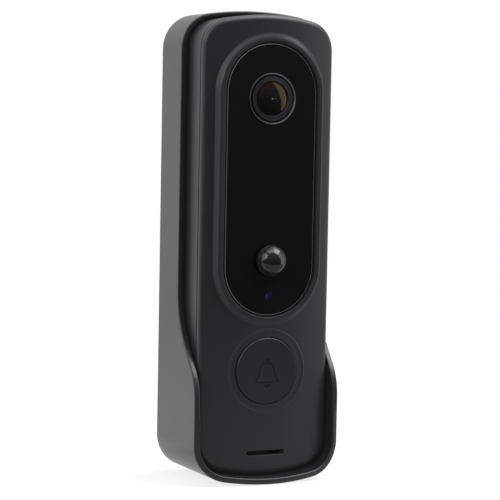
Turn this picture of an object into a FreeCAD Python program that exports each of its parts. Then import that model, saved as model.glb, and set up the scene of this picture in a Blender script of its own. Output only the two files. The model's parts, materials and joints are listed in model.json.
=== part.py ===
import FreeCAD, Part
import math
import os
import re
import Sketcher

# Battery video doorbell: a sealed unit that hooks into a wall tray and is locked there by one screw.
# Frame: X to the right seen from the front, Z up, the front faces -Y and the wall is the plane Y = 0.
# "Depth" is the distance from the wall, so a point at depth d lies at Y = -d.
# Z = 0 is half the height of the tray and X = 0 is its middle.

Vector = FreeCAD.Vector

# Driving sizes in mm (angles in degrees): name, value, what it is.
SIZES = [
    ("tray_arch_rise", 3.0, "rise of the arched ends over the tray's width"),
    ("tray_corner", 10.7, "outer corner radius of the tray"),
    ("tray_wall", 1.8, "side and bottom wall of the tray"),
    ("tray_top_wall", 1.2, "top wall of the tray"),
    ("side_play", 0.6, "gap between the unit and the tray's sides"),
    ("top_play", 0.3, "gap between the unit and the tray's top"),
    ("bottom_play", 0.3, "gap between the unit and the tray's bottom"),
    ("tray_plate", 2.4, "back plate of the tray"),
    ("rim_depth", 15.0, "depth of the tray's upper rim"),
    ("lip_reach", 5.2, "lower lip at the sides, in front of the unit's seam"),
    ("lip_crown", 4.1, "how much deeper the lip is in the middle"),
    ("lip_blend_radius", 30.0, "hollow arc that leads from the sweep into the lip"),
    ("sweep_height", 57.6, "start of the rim's sweep above the tray's lowest point"),
    ("sweep_foot_radius", 27.0, "hollow arc at the top of the sweep"),
    ("sweep_crest_radius", 15.0, "round arc at the foot of the sweep"),
    ("sweep_angle", 38.0, "slope of the sweep between its arcs"),
    ("wall_hole_half_pitch", 38.0, "wall screw holes, up and down from the middle"),
    ("wall_hole_radius", 2.1, "wall screw hole"),
    ("wall_sink_radius", 3.9, "countersink of the wall screw holes"),
    ("unit_top", 69.6, "unit, highest point"),
    ("unit_arch_rise", 3.5, "rise of the arched ends over the unit's width"),
    ("unit_corner", 8.9, "corner radius of the unit"),
    ("housing_wall", 2.0, "wall of the rear housing and the cover's rim"),
    ("back_round", 0.8, "rounding of the rear housing's back edge"),
    ("seam_gap", 0.3, "open seam between cover and housing"),
    ("cover_side", 2.0, "side wall of the front cover, front to back"),
    ("crown_rise", 2.4, "how far the front face bulges in the middle"),
    ("edge_round", 1.7, "rounding of the front edge"),
    ("ceiling_drop", 0.5, "flat inner ceiling behind the cover's front edge"),
    ("crown_wall", 2.2, "cover wall under the crown below the window"),
    ("window_half_width", 14.7, "window panel, middle to side"),
    ("window_margin", 8.6, "window panel below the unit's top"),
    ("window_rise", 2.4, "window panel's face in front of the cover's side edge"),
    ("window_thick", 1.5, "thickness of the window panel"),
    ("window_edge", 0.25, "polished bevel round the window"),
    ("window_gap", 0.45, "groove between window and cover"),
    ("tape_thick", 0.2, "adhesive frame behind the window"),
    ("tape_inset", 0.3, "adhesive frame, back from the window's edge"),
    ("ledge_width", 2.1, "ledge that carries the window"),
    ("frame_proud", 0.4, "flat frame in front of the window's face"),
    ("frame_half_width", 16.9, "flat frame, middle to crest"),
    ("frame_end", 1.5, "flat frame beyond the window's ends, up to its crest"),
    ("frame_flank", 1.25, "run of the frame's flank at its sides, down to the window's ledge level"),
    ("frame_end_flank", 7.0, "run of the frame's flank at its ends, down to the same level"),
    ("crest_round", 0.5, "bevel along the frame's crest"),
    ("tongue_width", 0.6, "tongue of the cover in the housing's groove"),
    ("tongue_length", 0.9, "tongue, behind the cover's rear edge"),
    ("groove_width", 0.8, "groove in the housing's rim"),
    ("groove_depth", 1.5, "groove below the housing's rim"),
    ("seal_thick", 0.7, "sealing cord at the bottom of the groove"),
    ("lens_drop", 16.5, "lens axis below the window's top"),
    ("lens_ring_radius", 7.7, "trim ring round the lens"),
    ("lens_ring_bore", 7.0, "trim ring, inside"),
    ("lens_ring_flange", 9.0, "trim ring flange behind the window"),
    ("lens_ring_proud", 0.4, "trim ring in front of the window"),
    ("flange_thick", 0.5, "flange of the trim ring and the dome"),
    ("barrel_radius", 6.7, "front of the lens barrel"),
    ("barrel_thread", 6.0, "threaded part of the lens barrel"),
    ("barrel_proud", 0.3, "lens barrel in front of the window's face"),
    ("barrel_head", 8.4, "head of the lens barrel, front to back"),
    ("sensor_air", 1.0, "air between the image sensor and the barrel"),
    ("front_glass_radius", 5.0, "front lens element"),
    ("front_glass_thick", 1.2, "front lens element at its edge"),
    ("front_glass_bulge", 1.0, "bulge of the front lens element"),
    ("front_glass_proud", 0.6, "front element in front of the barrel's face"),
    ("inner_glass_radius", 3.0, "inner lens element"),
    ("inner_glass_step", 3.8, "inner element's rear face behind the front element's"),
    ("inner_glass_thick", 2.0, "inner lens element"),
    ("barrel_bore", 2.6, "light path through the barrel"),
    ("thread_play", 0.05, "radial play of threads, plungers and pins"),
    ("holder_half", 8.0, "lens holder, middle to side"),
    ("holder_gap", 0.5, "lens holder behind the barrel's head"),
    ("sensor_half", 4.0, "image sensor, middle to side"),
    ("sensor_thick", 0.8, "image sensor"),
    ("camera_board_half_z", 10.0, "camera board, lens axis to top"),
    ("camera_post", 3.8, "posts of the camera board"),
    ("board_thick", 1.0, "circuit boards"),
    ("pir_rise", 16.6, "motion dome above the window's lower end"),
    ("pir_radius", 4.65, "motion dome"),
    ("pir_neck", 1.3, "straight neck of the motion dome"),
    ("pir_wall", 0.8, "wall of the motion dome"),
    ("pir_flange", 5.6, "flange of the dome behind the window"),
    ("pir_can_radius", 2.9, "motion sensor can"),
    ("pir_can_height", 2.8, "motion sensor can in front of the board"),
    ("part_gap", 0.1, "play between parts that drop into each other"),
    ("status_rise", 5.8, "status light above the window's lower end"),
    ("status_half_x", 1.0, "status light, middle to side"),
    ("status_half_z", 0.6, "status light, middle to top"),
    ("status_thick", 0.8, "status light in front of the board"),
    ("pipe_radius", 0.8, "light pipe of the status light"),
    ("pipe_flange", 1.6, "light pipe, flange behind the window"),
    ("pipe_flange_thick", 0.5, "light pipe, thickness of its flange"),
    ("ir_circle", 10.9, "infrared lights, distance from the lens axis"),
    ("ir_half", 1.0, "infrared light, middle to side"),
    ("ir_thick", 1.2, "infrared light in front of the board"),
    ("light_sensor_x", 7.5, "daylight sensor, right of the middle"),
    ("light_sensor_drop", 16.5, "daylight sensor below the lens axis"),
    ("light_sensor_radius", 1.5, "daylight sensor"),
    ("light_sensor_thick", 1.4, "daylight sensor in front of the board"),
    ("chip_half", 5.0, "processor, middle to side"),
    ("chip_drop", 28.5, "processor below the lens axis"),
    ("chip_thick", 1.0, "processor in front of the board"),
    ("wifi_inset", 0.8, "radio module, in from the main board's side"),
    ("wifi_wide", 7.0, "radio module, width"),
    ("wifi_drop", 10.0, "radio module's lower edge below the lens axis"),
    ("wifi_tall", 14.0, "radio module, height"),
    ("wifi_thick", 1.9, "radio module behind the board"),
    ("board_drop", 0.5, "main board's face behind the cover's ceiling"),
    ("main_board_half", 16.4, "main board, middle to side"),
    ("main_board_margin", 12.2, "main board below the unit's top"),
    ("main_board_foot", 0.8, "main board above the speaker"),
    ("main_board_corner", 3.0, "main board corners"),
    ("board_screw_inset", 2.4, "main board screws, in from the board's sides"),
    ("board_screw_end", 3.0, "main board screws, in from the board's ends"),
    ("small_boss", 2.2, "boss of a small screw"),
    ("small_shank", 0.8, "shank of the small screws"),
    ("small_head", 1.6, "head of the small screws"),
    ("small_head_tall", 1.0, "head of the small screws, height"),
    ("small_grip", 1.6, "small screws, length in the boss"),
    ("button_rise", 24.9, "call button above the sound slot"),
    ("button_drop", 16.9, "call button below the window's lower end"),
    ("button_radius", 10.07, "call button"),
    ("button_proud", 1.05, "call button in front of the dish"),
    ("button_bevel", 0.35, "bevel round the call button"),
    ("button_gap", 0.25, "gap round the call button"),
    ("button_skin", 1.15, "face wall of the call button"),
    ("button_skirt_wall", 1.3, "skirt wall of the call button"),
    ("button_travel", 0.5, "travel of the call button"),
    ("button_flange", 11.4, "retaining flange of the call button"),
    ("button_flange_thick", 0.5, "retaining flange of the call button"),
    ("button_seat_radius", 12.0, "flat inside seat round the button"),
    ("dish_wall", 0.8, "cover wall between the dish and the button's seat"),
    ("button_stem", 2.0, "stem on the switch"),
    ("dish_radius", 12.6, "shallow dish round the button"),
    ("dish_sink", 1.0, "dish below the cover's crown"),
    ("dish_fade", 0.3, "sideways run of the dish's edge"),
    ("switch_half", 3.0, "button switch, middle to side"),
    ("switch_tall", 1.3, "button switch in front of the board"),
    ("plunger_radius", 1.5, "plunger of the switch"),
    ("pad_inner", 9.2, "button rest pad, inside"),
    ("pad_outer", 11.2, "button rest pad, outside"),
    ("slot_drop", 2.7, "sound slot below the speaker's middle"),
    ("slot_half_length", 6.4, "sound slot, middle to end"),
    ("slot_half_height", 0.8, "sound slot, middle to edge"),
    ("slot_margin", 6.7, "sound slot above the unit's lowest point"),
    ("mesh_margin", 1.0, "sound mesh round the slot"),
    ("mesh_thick", 0.2, "sound mesh"),
    ("speaker_x", -2.5, "speaker, right of the middle"),
    ("speaker_gap", 6.4, "speaker below the bay's walls"),
    ("speaker_half_x", 7.0, "speaker, middle to side"),
    ("speaker_half_z", 5.2, "speaker, middle to top"),
    ("speaker_thick", 3.6, "speaker"),
    ("gasket_wall", 0.9, "speaker gasket, wall"),
    ("gasket_thick", 0.9, "speaker gasket"),
    ("mic_x", 7.7, "microphone, right of the middle"),
    ("mic_radius", 2.0, "microphone"),
    ("mic_thick", 1.6, "microphone"),
    ("mic_boot_radius", 2.7, "rubber boot of the microphone"),
    ("mic_boot_thick", 2.4, "rubber boot of the microphone"),
    ("mic_port", 0.8, "hole in the microphone's boot"),
    ("case_screw_inset", 7.6, "case screws, in from the unit's sides"),
    ("case_screw_drop", 8.3, "upper case screws below the unit's top"),
    ("case_screw_foot", 7.8, "lower case screws above the unit's lowest point"),
    ("case_column", 3.2, "screw column in the housing"),
    ("case_boss", 2.8, "screw boss in the cover"),
    ("case_shank", 1.2, "case screw shank"),
    ("case_head", 2.2, "case screw head"),
    ("case_head_tall", 1.6, "case screw head, height"),
    ("case_screw_wall", 7.4, "case screw's seat behind the housing's rim"),
    ("case_screw_bite", 0.8, "case screw's tip in front of the cover's ceiling"),
    ("bore_play", 0.3, "radial play of counterbores"),
    ("cell_radius", 9.15, "battery cell"),
    ("cell_gap", 0.25, "each battery cell, in from the middle"),
    ("cell_length", 64.0, "battery cell without its nub"),
    ("cell_nub_radius", 3.2, "positive nub"),
    ("cell_nub", 1.0, "positive nub, height"),
    ("cell_play", 0.1, "play round the cells"),
    ("block_gap", 1.0, "bay's walls below the camera board"),
    ("block_wall", 3.5, "upper wall of the battery bay"),
    ("spring_room", 5.5, "room for the springs below the cells"),
    ("bay_margin", 0.35, "room beside the cells"),
    ("bay_wall", 2.6, "side wall of the battery bay"),
    ("bay_floor", 0.9, "wall between the cells and the main board"),
    ("contact_thick", 0.5, "battery contact sheet"),
    ("contact_half", 5.0, "battery contact, middle to side"),
    ("block_foot", 7.0, "lower wall of the battery bay"),
    ("door_overlap", 0.9, "battery door, beyond the bay's sides"),
    ("door_head", 1.6, "battery door, beyond the bay's upper end"),
    ("door_foot", 5.8, "battery door, beyond the bay's lower end"),
    ("door_corner", 3.0, "battery door corners"),
    ("door_thick", 1.6, "battery door"),
    ("door_seal", 0.4, "battery door seal"),
    ("door_tab_x", 11.0, "door tabs, middle to tab"),
    ("door_tab_half", 3.0, "door tab, middle to side"),
    ("door_tab_reach", 1.2, "door tab, beyond the door's edge"),
    ("door_tab_thick", 0.8, "door tab"),
    ("door_screw_drop", 3.5, "door screw below the bay"),
    ("door_screw_shank", 1.0, "door screw shank"),
    ("door_screw_head", 2.0, "door screw head"),
    ("door_screw_length", 7.0, "door screw"),
    ("usb_drop", 9.1, "charging socket below the unit's top"),
    ("usb_half_x", 4.5, "charging socket, middle to side"),
    ("usb_half_z", 1.65, "charging socket, middle to top"),
    ("usb_wall", 0.35, "charging socket shell"),
    ("usb_recess", 0.4, "charging socket's mouth in front of the housing's floor"),
    ("usb_length", 6.6, "charging socket, front to back"),
    ("usb_margin", 0.8, "opening round the charging socket"),
    ("bung_flange", 1.3, "rubber bung, flange round the opening"),
    ("bung_flange_thick", 0.8, "rubber bung flange"),
    ("power_board_half_x", 9.5, "power board, middle to side"),
    ("power_board_rise", 5.0, "power board, socket to upper edge"),
    ("power_board_fall", 4.5, "power board, socket to lower edge"),
    ("power_screw_inset", 2.1, "power board screws, in from the board's sides"),
    ("antenna_thick", 0.3, "antenna foil"),
    ("antenna_rise", 3.6, "antenna's rear edge in front of the housing's floor"),
    ("antenna_wide", 9.0, "antenna foil, width"),
    ("antenna_drop", 8.5, "antenna's lower edge below the lens axis"),
    ("antenna_tall", 20.0, "antenna foil, height"),
    ("lock_depth", 12.0, "depth of the lock screw's axis"),
    ("lock_shank", 1.45, "lock screw shank"),
    ("lock_head", 2.8, "lock screw head"),
    ("lock_head_tall", 1.4, "lock screw head, height"),
    ("lock_length", 8.0, "lock screw"),
    ("lock_block_half", 4.0, "block for the lock screw, middle to side"),
    ("lock_block_tall", 6.5, "block for the lock screw, above the unit's lowest point"),
    ("hook_half", 5.0, "tray hook, middle to side"),
    ("hook_rise", 4.6, "tray hook's rear face in front of the tray's plate"),
    ("hook_thick", 2.0, "tray hook, front to back"),
    ("hook_reach", 1.2, "tray hook below the tray's top wall"),
    ("hook_play", 0.2, "play round the hook"),
]

# Sizes and places that follow from the ones above: name, formula, what it is.
FOLLOWING = [
    ("cell_half_pitch", "cell_radius + cell_gap", "battery cells, middle to cell axis"),
    ("bay_half_width",
     "cell_half_pitch + cell_radius + cell_play + bay_margin",
     "battery bay, middle to side"),
    ("unit_half_width", "bay_half_width + bay_wall", "unit, middle to side"),
    ("tray_half_width", "unit_half_width + side_play + tray_wall", "tray, middle to outer side"),
    ("tray_top", "unit_top + top_play + tray_top_wall", "tray, highest point of the arched top"),
    ("window_top", "unit_top - window_margin", "window panel, highest point"),
    ("lens_height", "window_top - lens_drop", "lens axis above the middle"),
    ("block_top", "lens_height - camera_board_half_z - block_gap", "upper end of the bay's walls"),
    ("bay_top", "block_top - block_wall", "battery bay, upper end"),
    ("bay_bottom",
     "bay_top - contact_thick - cell_nub - cell_length - spring_room",
     "battery bay, lower end"),
    ("block_bottom", "bay_bottom - block_foot", "lower end of the bay's walls"),
    ("speaker_z", "block_bottom - speaker_gap - speaker_half_z", "speaker above the middle"),
    ("slot_height", "speaker_z - slot_drop", "sound slot above the middle"),
    ("button_height", "slot_height + button_rise", "call button above the middle"),
    ("window_bottom", "button_height + button_drop", "window panel, lowest point"),
    ("unit_bottom", "slot_margin - slot_height", "unit, lowest point, downwards"),
    ("tray_bottom", "unit_bottom + bottom_play + tray_wall", "tray, lowest point, downwards"),
    ("sweep_start", "sweep_height - tray_bottom", "height where the rim starts to sweep forward"),
    ("seam_depth",
     "tray_plate + door_thick + 2 * cell_play + 2 * cell_radius + bay_floor + seam_gap",
     "depth of the front cover's rear edge"),
    ("cover_edge_depth", "seam_depth + cover_side", "depth of the front face at the unit's sides"),
    ("ceiling_depth", "cover_edge_depth - ceiling_drop", "flat inner ceiling of the front cover"),
    ("lip_side_depth", "seam_depth + lip_reach", "depth of the lower lip at the sides"),
    ("lip_peak_depth", "lip_side_depth + lip_crown", "depth of the lower lip in the middle"),
    ("window_face", "cover_edge_depth + window_rise", "depth of the window's face"),
    ("frame_level", "window_face + frame_proud", "depth of the flat frame round the window"),
    ("dish_level", "cover_edge_depth + crown_rise - dish_sink", "depth of the dish"),
    ("button_face", "dish_level + button_proud", "depth of the call button's face"),
    ("button_seat_depth", "dish_level - dish_wall", "depth of the seat inside"),
    ("barrel_front", "window_face + barrel_proud", "depth of the lens barrel's face"),
    ("barrel_shoulder", "barrel_front - barrel_head", "depth where the barrel's head begins"),
    ("front_glass_apex", "barrel_front + front_glass_proud", "depth of the front element's middle"),
    ("front_glass_edge", "front_glass_apex - front_glass_bulge", "depth of the front element's edge"),
    ("front_glass_seat", "front_glass_edge - front_glass_thick", "depth of the front element's rear face"),
    ("inner_glass_depth", "front_glass_seat - inner_glass_step", "depth of the inner element's rear face"),
    ("holder_front", "barrel_shoulder - holder_gap", "depth of the lens holder's face"),
    ("camera_board_depth",
     "tray_plate + housing_wall + camera_post + board_thick",
     "depth of the camera board's face"),
    ("barrel_back", "camera_board_depth + sensor_thick + sensor_air", "depth of the barrel's rear end"),
    ("camera_screw_x", "holder_half + small_head + part_gap", "camera board screws, middle to side"),
    ("camera_screw_z",
     "camera_board_half_z - small_head - part_gap",
     "camera board screws, lens axis to screw"),
    ("camera_board_half_x", "camera_screw_x + small_head + part_gap", "camera board, middle to side"),
    ("main_board_front", "ceiling_depth - board_drop", "depth of the main board's face"),
    ("main_board_top", "unit_top - main_board_margin", "main board, upper edge"),
    ("main_board_bottom", "speaker_z + speaker_half_z + main_board_foot", "main board, lower edge"),
    ("board_screw_x", "main_board_half - board_screw_inset", "main board screws, middle to side"),
    ("board_screw_top", "main_board_top - board_screw_end", "upper main board screws"),
    ("board_screw_bottom", "main_board_bottom + board_screw_end", "lower main board screws"),
    ("pir_height", "window_bottom + pir_rise", "motion dome above the middle"),
    ("status_height", "window_bottom + status_rise", "status light above the middle"),
    ("light_sensor_z", "lens_height - light_sensor_drop", "daylight sensor above the middle"),
    ("chip_height", "lens_height - chip_drop", "processor above the middle"),
    ("wifi_left", "main_board_half - wifi_inset - wifi_wide", "radio module, left side"),
    ("wifi_bottom", "lens_height - wifi_drop", "radio module, lower edge"),
    ("case_screw_x", "unit_half_width - case_screw_inset", "case screws, middle to side"),
    ("case_screw_top", "unit_top - case_screw_drop", "upper case screws"),
    ("case_screw_bottom", "case_screw_foot - unit_bottom", "lower case screws"),
    ("case_head_seat", "seam_depth - seam_gap - case_screw_wall", "depth of the case screw's seat"),
    ("case_screw_tip", "ceiling_depth + case_screw_bite", "depth of the case screw's tip"),
    ("door_half_width", "bay_half_width + door_overlap", "battery door, middle to side"),
    ("door_top", "bay_top + door_head", "battery door, upper edge"),
    ("door_bottom", "bay_bottom - door_foot", "battery door, lower edge"),
    ("door_screw_z", "bay_bottom - door_screw_drop", "door screw above the middle"),
    ("usb_height", "unit_top - usb_drop", "charging socket above the middle"),
    ("usb_back", "tray_plate + housing_wall + usb_recess", "depth of the charging socket's mouth"),
    ("power_board_depth", "usb_back + usb_length", "depth of the power board's rear face"),
    ("power_board_top", "usb_height + power_board_rise", "power board, upper edge"),
    ("power_board_bottom", "usb_height - power_board_fall", "power board, lower edge"),
    ("power_screw_x", "power_board_half_x - power_screw_inset", "power board screws, middle to side"),
    ("antenna_back", "tray_plate + housing_wall + antenna_rise", "depth of the antenna's rear edge"),
    ("antenna_bottom", "lens_height - antenna_drop", "antenna foil, lower edge"),
    ("lock_block_top", "lock_block_tall - unit_bottom", "block for the lock screw, upper end"),
    ("hook_back", "tray_plate + hook_rise", "depth of the hook's rear face"),
]

NAMES = [row[0] for row in SIZES + FOLLOWING]
WORDS = re.compile(r"\b(" + "|".join(sorted(NAMES, key=len, reverse=True)) + r")\b")

doc = FreeCAD.newDocument("VideoDoorbell")
sheet = doc.addObject("Spreadsheet::Sheet", "Sizes")
CELLS = [(name, str(size), note) for name, size, note in SIZES]
CELLS += [(name, f"={formula}", note) for name, formula, note in FOLLOWING]
for row, (name, cell, note) in enumerate(CELLS, start=1):
    sheet.set(f"A{row}", name)
    sheet.set(f"B{row}", cell)
    sheet.set(f"C{row}", note)
    sheet.setAlias(f"B{row}", name)
doc.recompute()

finished = []  # the sub-parts, in the order in which they are written


def expression(text):
    """The text with each size's name turned into a reference to the sheet."""
    return WORDS.sub(r"Sizes.\1", text)


def number(text):
    """The present value of an expression, for a sketch's first shape."""
    return float(sheet.evalExpression(expression(text)))


def bind(item, **settings):
    """Tie properties to expressions; a double underscore stands for a dot."""
    for name, text in settings.items():
        item.setExpression(name.replace("__", "."), expression(text))


# Values that several sub-parts share, written as expressions on the sheet.
TRAY_ARCH = "((tray_half_width^2 + tray_arch_rise^2) / (2 * tray_arch_rise))"
UNIT_ARCH = "((unit_half_width^2 + unit_arch_rise^2) / (2 * unit_arch_rise))"
CROWN_ARC = "((unit_half_width^2 + crown_rise^2) / (2 * crown_rise))"
CROWN_TOP = "(cover_edge_depth + crown_rise)"
HOUSING_RIM = "(seam_depth - seam_gap)"
WINDOW_BACK = "(window_face - window_thick)"
LEDGE_LEVEL = "(window_face - window_thick - tape_thick)"
BOARD_BACK = "(main_board_front - board_thick)"
HOUSING_INSIDE = "(tray_plate + housing_wall)"
PLUNGER_PROUD = "(button_travel + part_gap)"
PLUNGER_TIP = f"(main_board_front + switch_tall + {PLUNGER_PROUD})"
PAD_FACE = "(button_seat_depth - part_gap - button_flange_thick - button_travel)"
CELL_AXIS = "(tray_plate + door_thick + cell_play + cell_radius)"
GROOVE_FLOOR = "(seam_depth - seam_gap - groove_depth)"
MESH_FACE = "(ceiling_depth - mesh_thick)"
DOME_CENTRE = "(window_face + pir_neck)"
PIPE_FOOT = "(main_board_front + status_thick)"


# ---------------------------------------------------------------- sketches

def makeBody(label):
    body = doc.addObject("PartDesign::Body", label)
    body.Label = label
    finished.append(body)
    return body


def makeSketch(body, role, offset="0", across="0"):
    """A sketch on one of the body's own planes, moved along the normal and along its first axis."""
    sketch = body.newObject("Sketcher::SketchObject", "Sketch")
    plane = [item for item in body.Origin.OriginFeatures if item.Role == role][0]
    sketch.AttachmentSupport = [(plane, "")]
    sketch.MapMode = "FlatFace"
    bind(sketch, AttachmentOffset__Base__z=offset, AttachmentOffset__Base__x=across)
    return sketch


def frontSketch(body, depth):
    """Sketch facing the visitor at a depth: its axes are X and Z and its normal points forward."""
    return makeSketch(body, "XZ_Plane", depth)


def hold(sketch, kind, *where, value):
    """A sketch dimension bound to an expression."""
    index = sketch.addConstraint(Sketcher.Constraint(kind, *where, number(value)))
    sketch.setExpression(f"Constraints[{index}]", expression(value))


def place(sketch, edge, point, x, y):
    hold(sketch, "DistanceX", -1, 1, edge, point, value=x)
    hold(sketch, "DistanceY", -1, 1, edge, point, value=y)


def drawPath(sketch, corners, arcs=()):
    """A closed outline through corners; arcs maps a corner to the radius and side of the arc after it."""
    arcs = dict(arcs)
    points = [Vector(number(x), number(y), 0) for x, y in corners]
    edges = []
    for index, start in enumerate(points):
        stop = points[(index + 1) % len(points)]
        if index in arcs:
            radius, side = arcs[index]
            half = start.distanceToPoint(stop) / 2
            sagitta = number(radius) - math.sqrt(number(radius) ** 2 - half ** 2)
            along = (stop - start).normalize()
            middle = (start + stop) * 0.5 + Vector(-along.y, along.x, 0) * sagitta * side
            edge = sketch.addGeometry(Part.Arc(start, middle, stop), False)
        else:
            edge = sketch.addGeometry(Part.LineSegment(start, stop), False)
        edges.append(edge)
    ends = [edgeEnds(sketch, edge, points[index]) for index, edge in enumerate(edges)]
    for index, edge in enumerate(edges):
        following = (index + 1) % len(edges)
        sketch.addConstraint(
            Sketcher.Constraint("Coincident", edge, ends[index][1], edges[following], ends[following][0]))
    for index, (x, y) in enumerate(corners):
        place(sketch, edges[index], ends[index][0], x, y)
    for index, (radius, side) in arcs.items():
        hold(sketch, "Radius", edges[index], value=radius)


def edgeEnds(sketch, edge, start):
    """Which of a sketch edge's two ends (1 or 2) is its first and which its last along the outline."""
    if sketch.getPoint(edge, 1).distanceToPoint(start) < sketch.getPoint(edge, 2).distanceToPoint(start):
        return 1, 2
    return 2, 1


def drawBox(sketch, left, right, low, high):
    drawPath(sketch, [(left, low), (right, low), (right, high), (left, high)])


def drawCircle(sketch, x, y, radius):
    circle = sketch.addGeometry(
        Part.Circle(Vector(number(x), number(y), 0), Vector(0, 0, 1), number(radius)), False)
    place(sketch, circle, 3, x, y)
    hold(sketch, "Radius", circle, value=radius)


def drawRounds(sketch, runs):
    """A smooth closed outline of lines and arcs that meet tangentially.

    runs lists its edges: ("line", start, stop) or ("arc", middle, radius, first, last) in degrees.
    """
    edges = []
    for run in runs:
        if run[0] == "line":
            edges.append(sketch.addGeometry(Part.LineSegment(Vector(*run[1], 0), Vector(*run[2], 0)), False))
        else:
            circle = Part.Circle(Vector(*run[1], 0), Vector(0, 0, 1), run[2])
            arc = Part.ArcOfCircle(circle, math.radians(run[3]), math.radians(run[4]))
            edges.append(sketch.addGeometry(arc, False))
    for index, edge in enumerate(edges):
        following = edges[(index + 1) % len(edges)]
        sketch.addConstraint(Sketcher.Constraint("Tangent", edge, 2, following, 1))
    return edges


def drawStadium(sketch, half_width, top, bottom):
    """An upright stadium on the vertical axis, with its highest and lowest points given."""
    half = number(half_width)
    high = number(top) - half
    low = number(bottom) + half
    right, upper, left, lower = drawRounds(sketch, [
        ("line", (half, low), (half, high)),
        ("arc", (0, high), half, 0, 180),
        ("line", (-half, high), (-half, low)),
        ("arc", (0, low), half, 180, 360),
    ])
    sketch.addConstraint(Sketcher.Constraint("Vertical", right))
    hold(sketch, "Radius", upper, value=half_width)
    place(sketch, upper, 3, "0", f"({top}) - ({half_width})")
    place(sketch, lower, 3, "0", f"({bottom}) + ({half_width})")


def drawSlot(sketch, x, y, half_length, half_height):
    """A level slot with round ends."""
    middle_x = number(x)
    middle_y = number(y)
    end = number(half_height)
    run = number(half_length) - end
    lower, right, upper, left = drawRounds(sketch, [
        ("line", (middle_x - run, middle_y - end), (middle_x + run, middle_y - end)),
        ("arc", (middle_x + run, middle_y), end, -90, 90),
        ("line", (middle_x + run, middle_y + end), (middle_x - run, middle_y + end)),
        ("arc", (middle_x - run, middle_y), end, 90, 270),
    ])
    sketch.addConstraint(Sketcher.Constraint("Horizontal", lower))
    hold(sketch, "Radius", right, value=half_height)
    place(sketch, right, 3, f"({x}) + ({half_length}) - ({half_height})", y)
    place(sketch, left, 3, f"({x}) - ({half_length}) + ({half_height})", y)


def drawRoundBox(sketch, half_width, top, bottom, corner):
    """A box on the vertical axis with four equal round corners."""
    half = number(half_width)
    radius = number(corner)
    high = number(top) - radius
    low = number(bottom) + radius
    run = half - radius
    edges = drawRounds(sketch, [
        ("line", (half, low), (half, high)),
        ("arc", (run, high), radius, 0, 90),
        ("line", (run, high + radius), (-run, high + radius)),
        ("arc", (-run, high), radius, 90, 180),
        ("line", (-half, high), (-half, low)),
        ("arc", (-run, low), radius, 180, 270),
        ("line", (-run, low - radius), (run, low - radius)),
        ("arc", (run, low), radius, 270, 360),
    ])
    for edge in (3, 5, 7):
        sketch.addConstraint(Sketcher.Constraint("Equal", edges[1], edges[edge]))
    hold(sketch, "Radius", edges[1], value=corner)
    sketch.addConstraint(Sketcher.Constraint("Vertical", edges[0]))
    place(sketch, edges[1], 3, f"({half_width}) - ({corner})", f"({top}) - ({corner})")
    place(sketch, edges[5], 3, f"({corner}) - ({half_width})", f"({bottom}) + ({corner})")


def drawArched(sketch, half_width, top, bottom, arch, corner):
    """The doorbell's outline: straight sides, arched ends of one radius and four round corners.

    bottom is given downwards, as a positive size.
    """
    half = number(half_width)
    radius = number(corner)
    span = number(arch)
    upper = number(top) - span
    lower = span - number(bottom)
    reach = math.sqrt((span - radius) ** 2 - (half - radius) ** 2)
    turn = math.degrees(math.asin((half - radius) / (span - radius)))
    run = half - radius
    edges = drawRounds(sketch, [
        ("line", (half, lower - reach), (half, upper + reach)),
        ("arc", (run, upper + reach), radius, 0, 90 - turn),
        ("arc", (0, upper), span, 90 - turn, 90 + turn),
        ("arc", (-run, upper + reach), radius, 90 + turn, 180),
        ("line", (-half, upper + reach), (-half, lower - reach)),
        ("arc", (-run, lower - reach), radius, 180, 270 - turn),
        ("arc", (0, lower), span, 270 - turn, 270 + turn),
        ("arc", (run, lower - reach), radius, 270 + turn, 360),
    ])
    for edge in (3, 5, 7):
        sketch.addConstraint(Sketcher.Constraint("Equal", edges[1], edges[edge]))
    hold(sketch, "Radius", edges[1], value=corner)
    for edge in (edges[0], edges[4]):
        sketch.addConstraint(Sketcher.Constraint("Vertical", edge))
    hold(sketch, "DistanceX", -1, 1, edges[0], 1, value=half_width)
    hold(sketch, "DistanceX", -1, 1, edges[4], 1, value=f"-({half_width})")
    for edge, middle in ((edges[2], f"({top}) - ({arch})"), (edges[6], f"({arch}) - ({bottom})")):
        hold(sketch, "Radius", edge, value=arch)
        place(sketch, edge, 3, "0", middle)


# ---------------------------------------------------------------- features

def pad(body, sketch, length, backward=False, taper=None):
    feature = body.newObject("PartDesign::Pad", "Pad")
    feature.Profile = sketch
    bind(feature, Length=length)
    feature.Reversed = backward
    if taper:
        bind(feature, TaperAngle=taper)
    sketch.Visibility = False
    return feature


def pocket(body, sketch, length, forward=False):
    """A pocket cuts against the sketch's normal; with forward, along it."""
    feature = body.newObject("PartDesign::Pocket", "Pocket")
    feature.Profile = sketch
    bind(feature, Length=length)
    feature.Reversed = forward
    return feature


def pocketBothWays(body, sketch, length):
    feature = pocket(body, sketch, length)
    feature.SideType = "Symmetric"
    return feature


def revolve(body, sketch, cut=False):
    """Turn a sketch once round its own vertical axis."""
    feature = body.newObject("PartDesign::Groove" if cut else "PartDesign::Revolution", "Turn")
    feature.Profile = sketch
    feature.ReferenceAxis = (sketch, ["V_Axis"])
    feature.Angle = 360
    return feature


def loft(body, sketches, cut=False):
    feature = body.newObject("PartDesign::SubtractiveLoft" if cut else "PartDesign::AdditiveLoft", "Loft")
    feature.Profile = sketches[0]
    feature.Sections = sketches[1:]
    feature.Ruled = True
    return feature


def roundEdges(body, feature, chosen, radius):
    """Fillet the edges of the feature that the function chosen accepts."""
    doc.recompute()
    names = [f"Edge{index}" for index, edge in enumerate(feature.Shape.Edges, start=1) if chosen(edge)]
    fillet = body.newObject("PartDesign::Fillet", "Fillet")
    fillet.Base = (feature, names)
    bind(fillet, Radius=radius)
    return fillet


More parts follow.
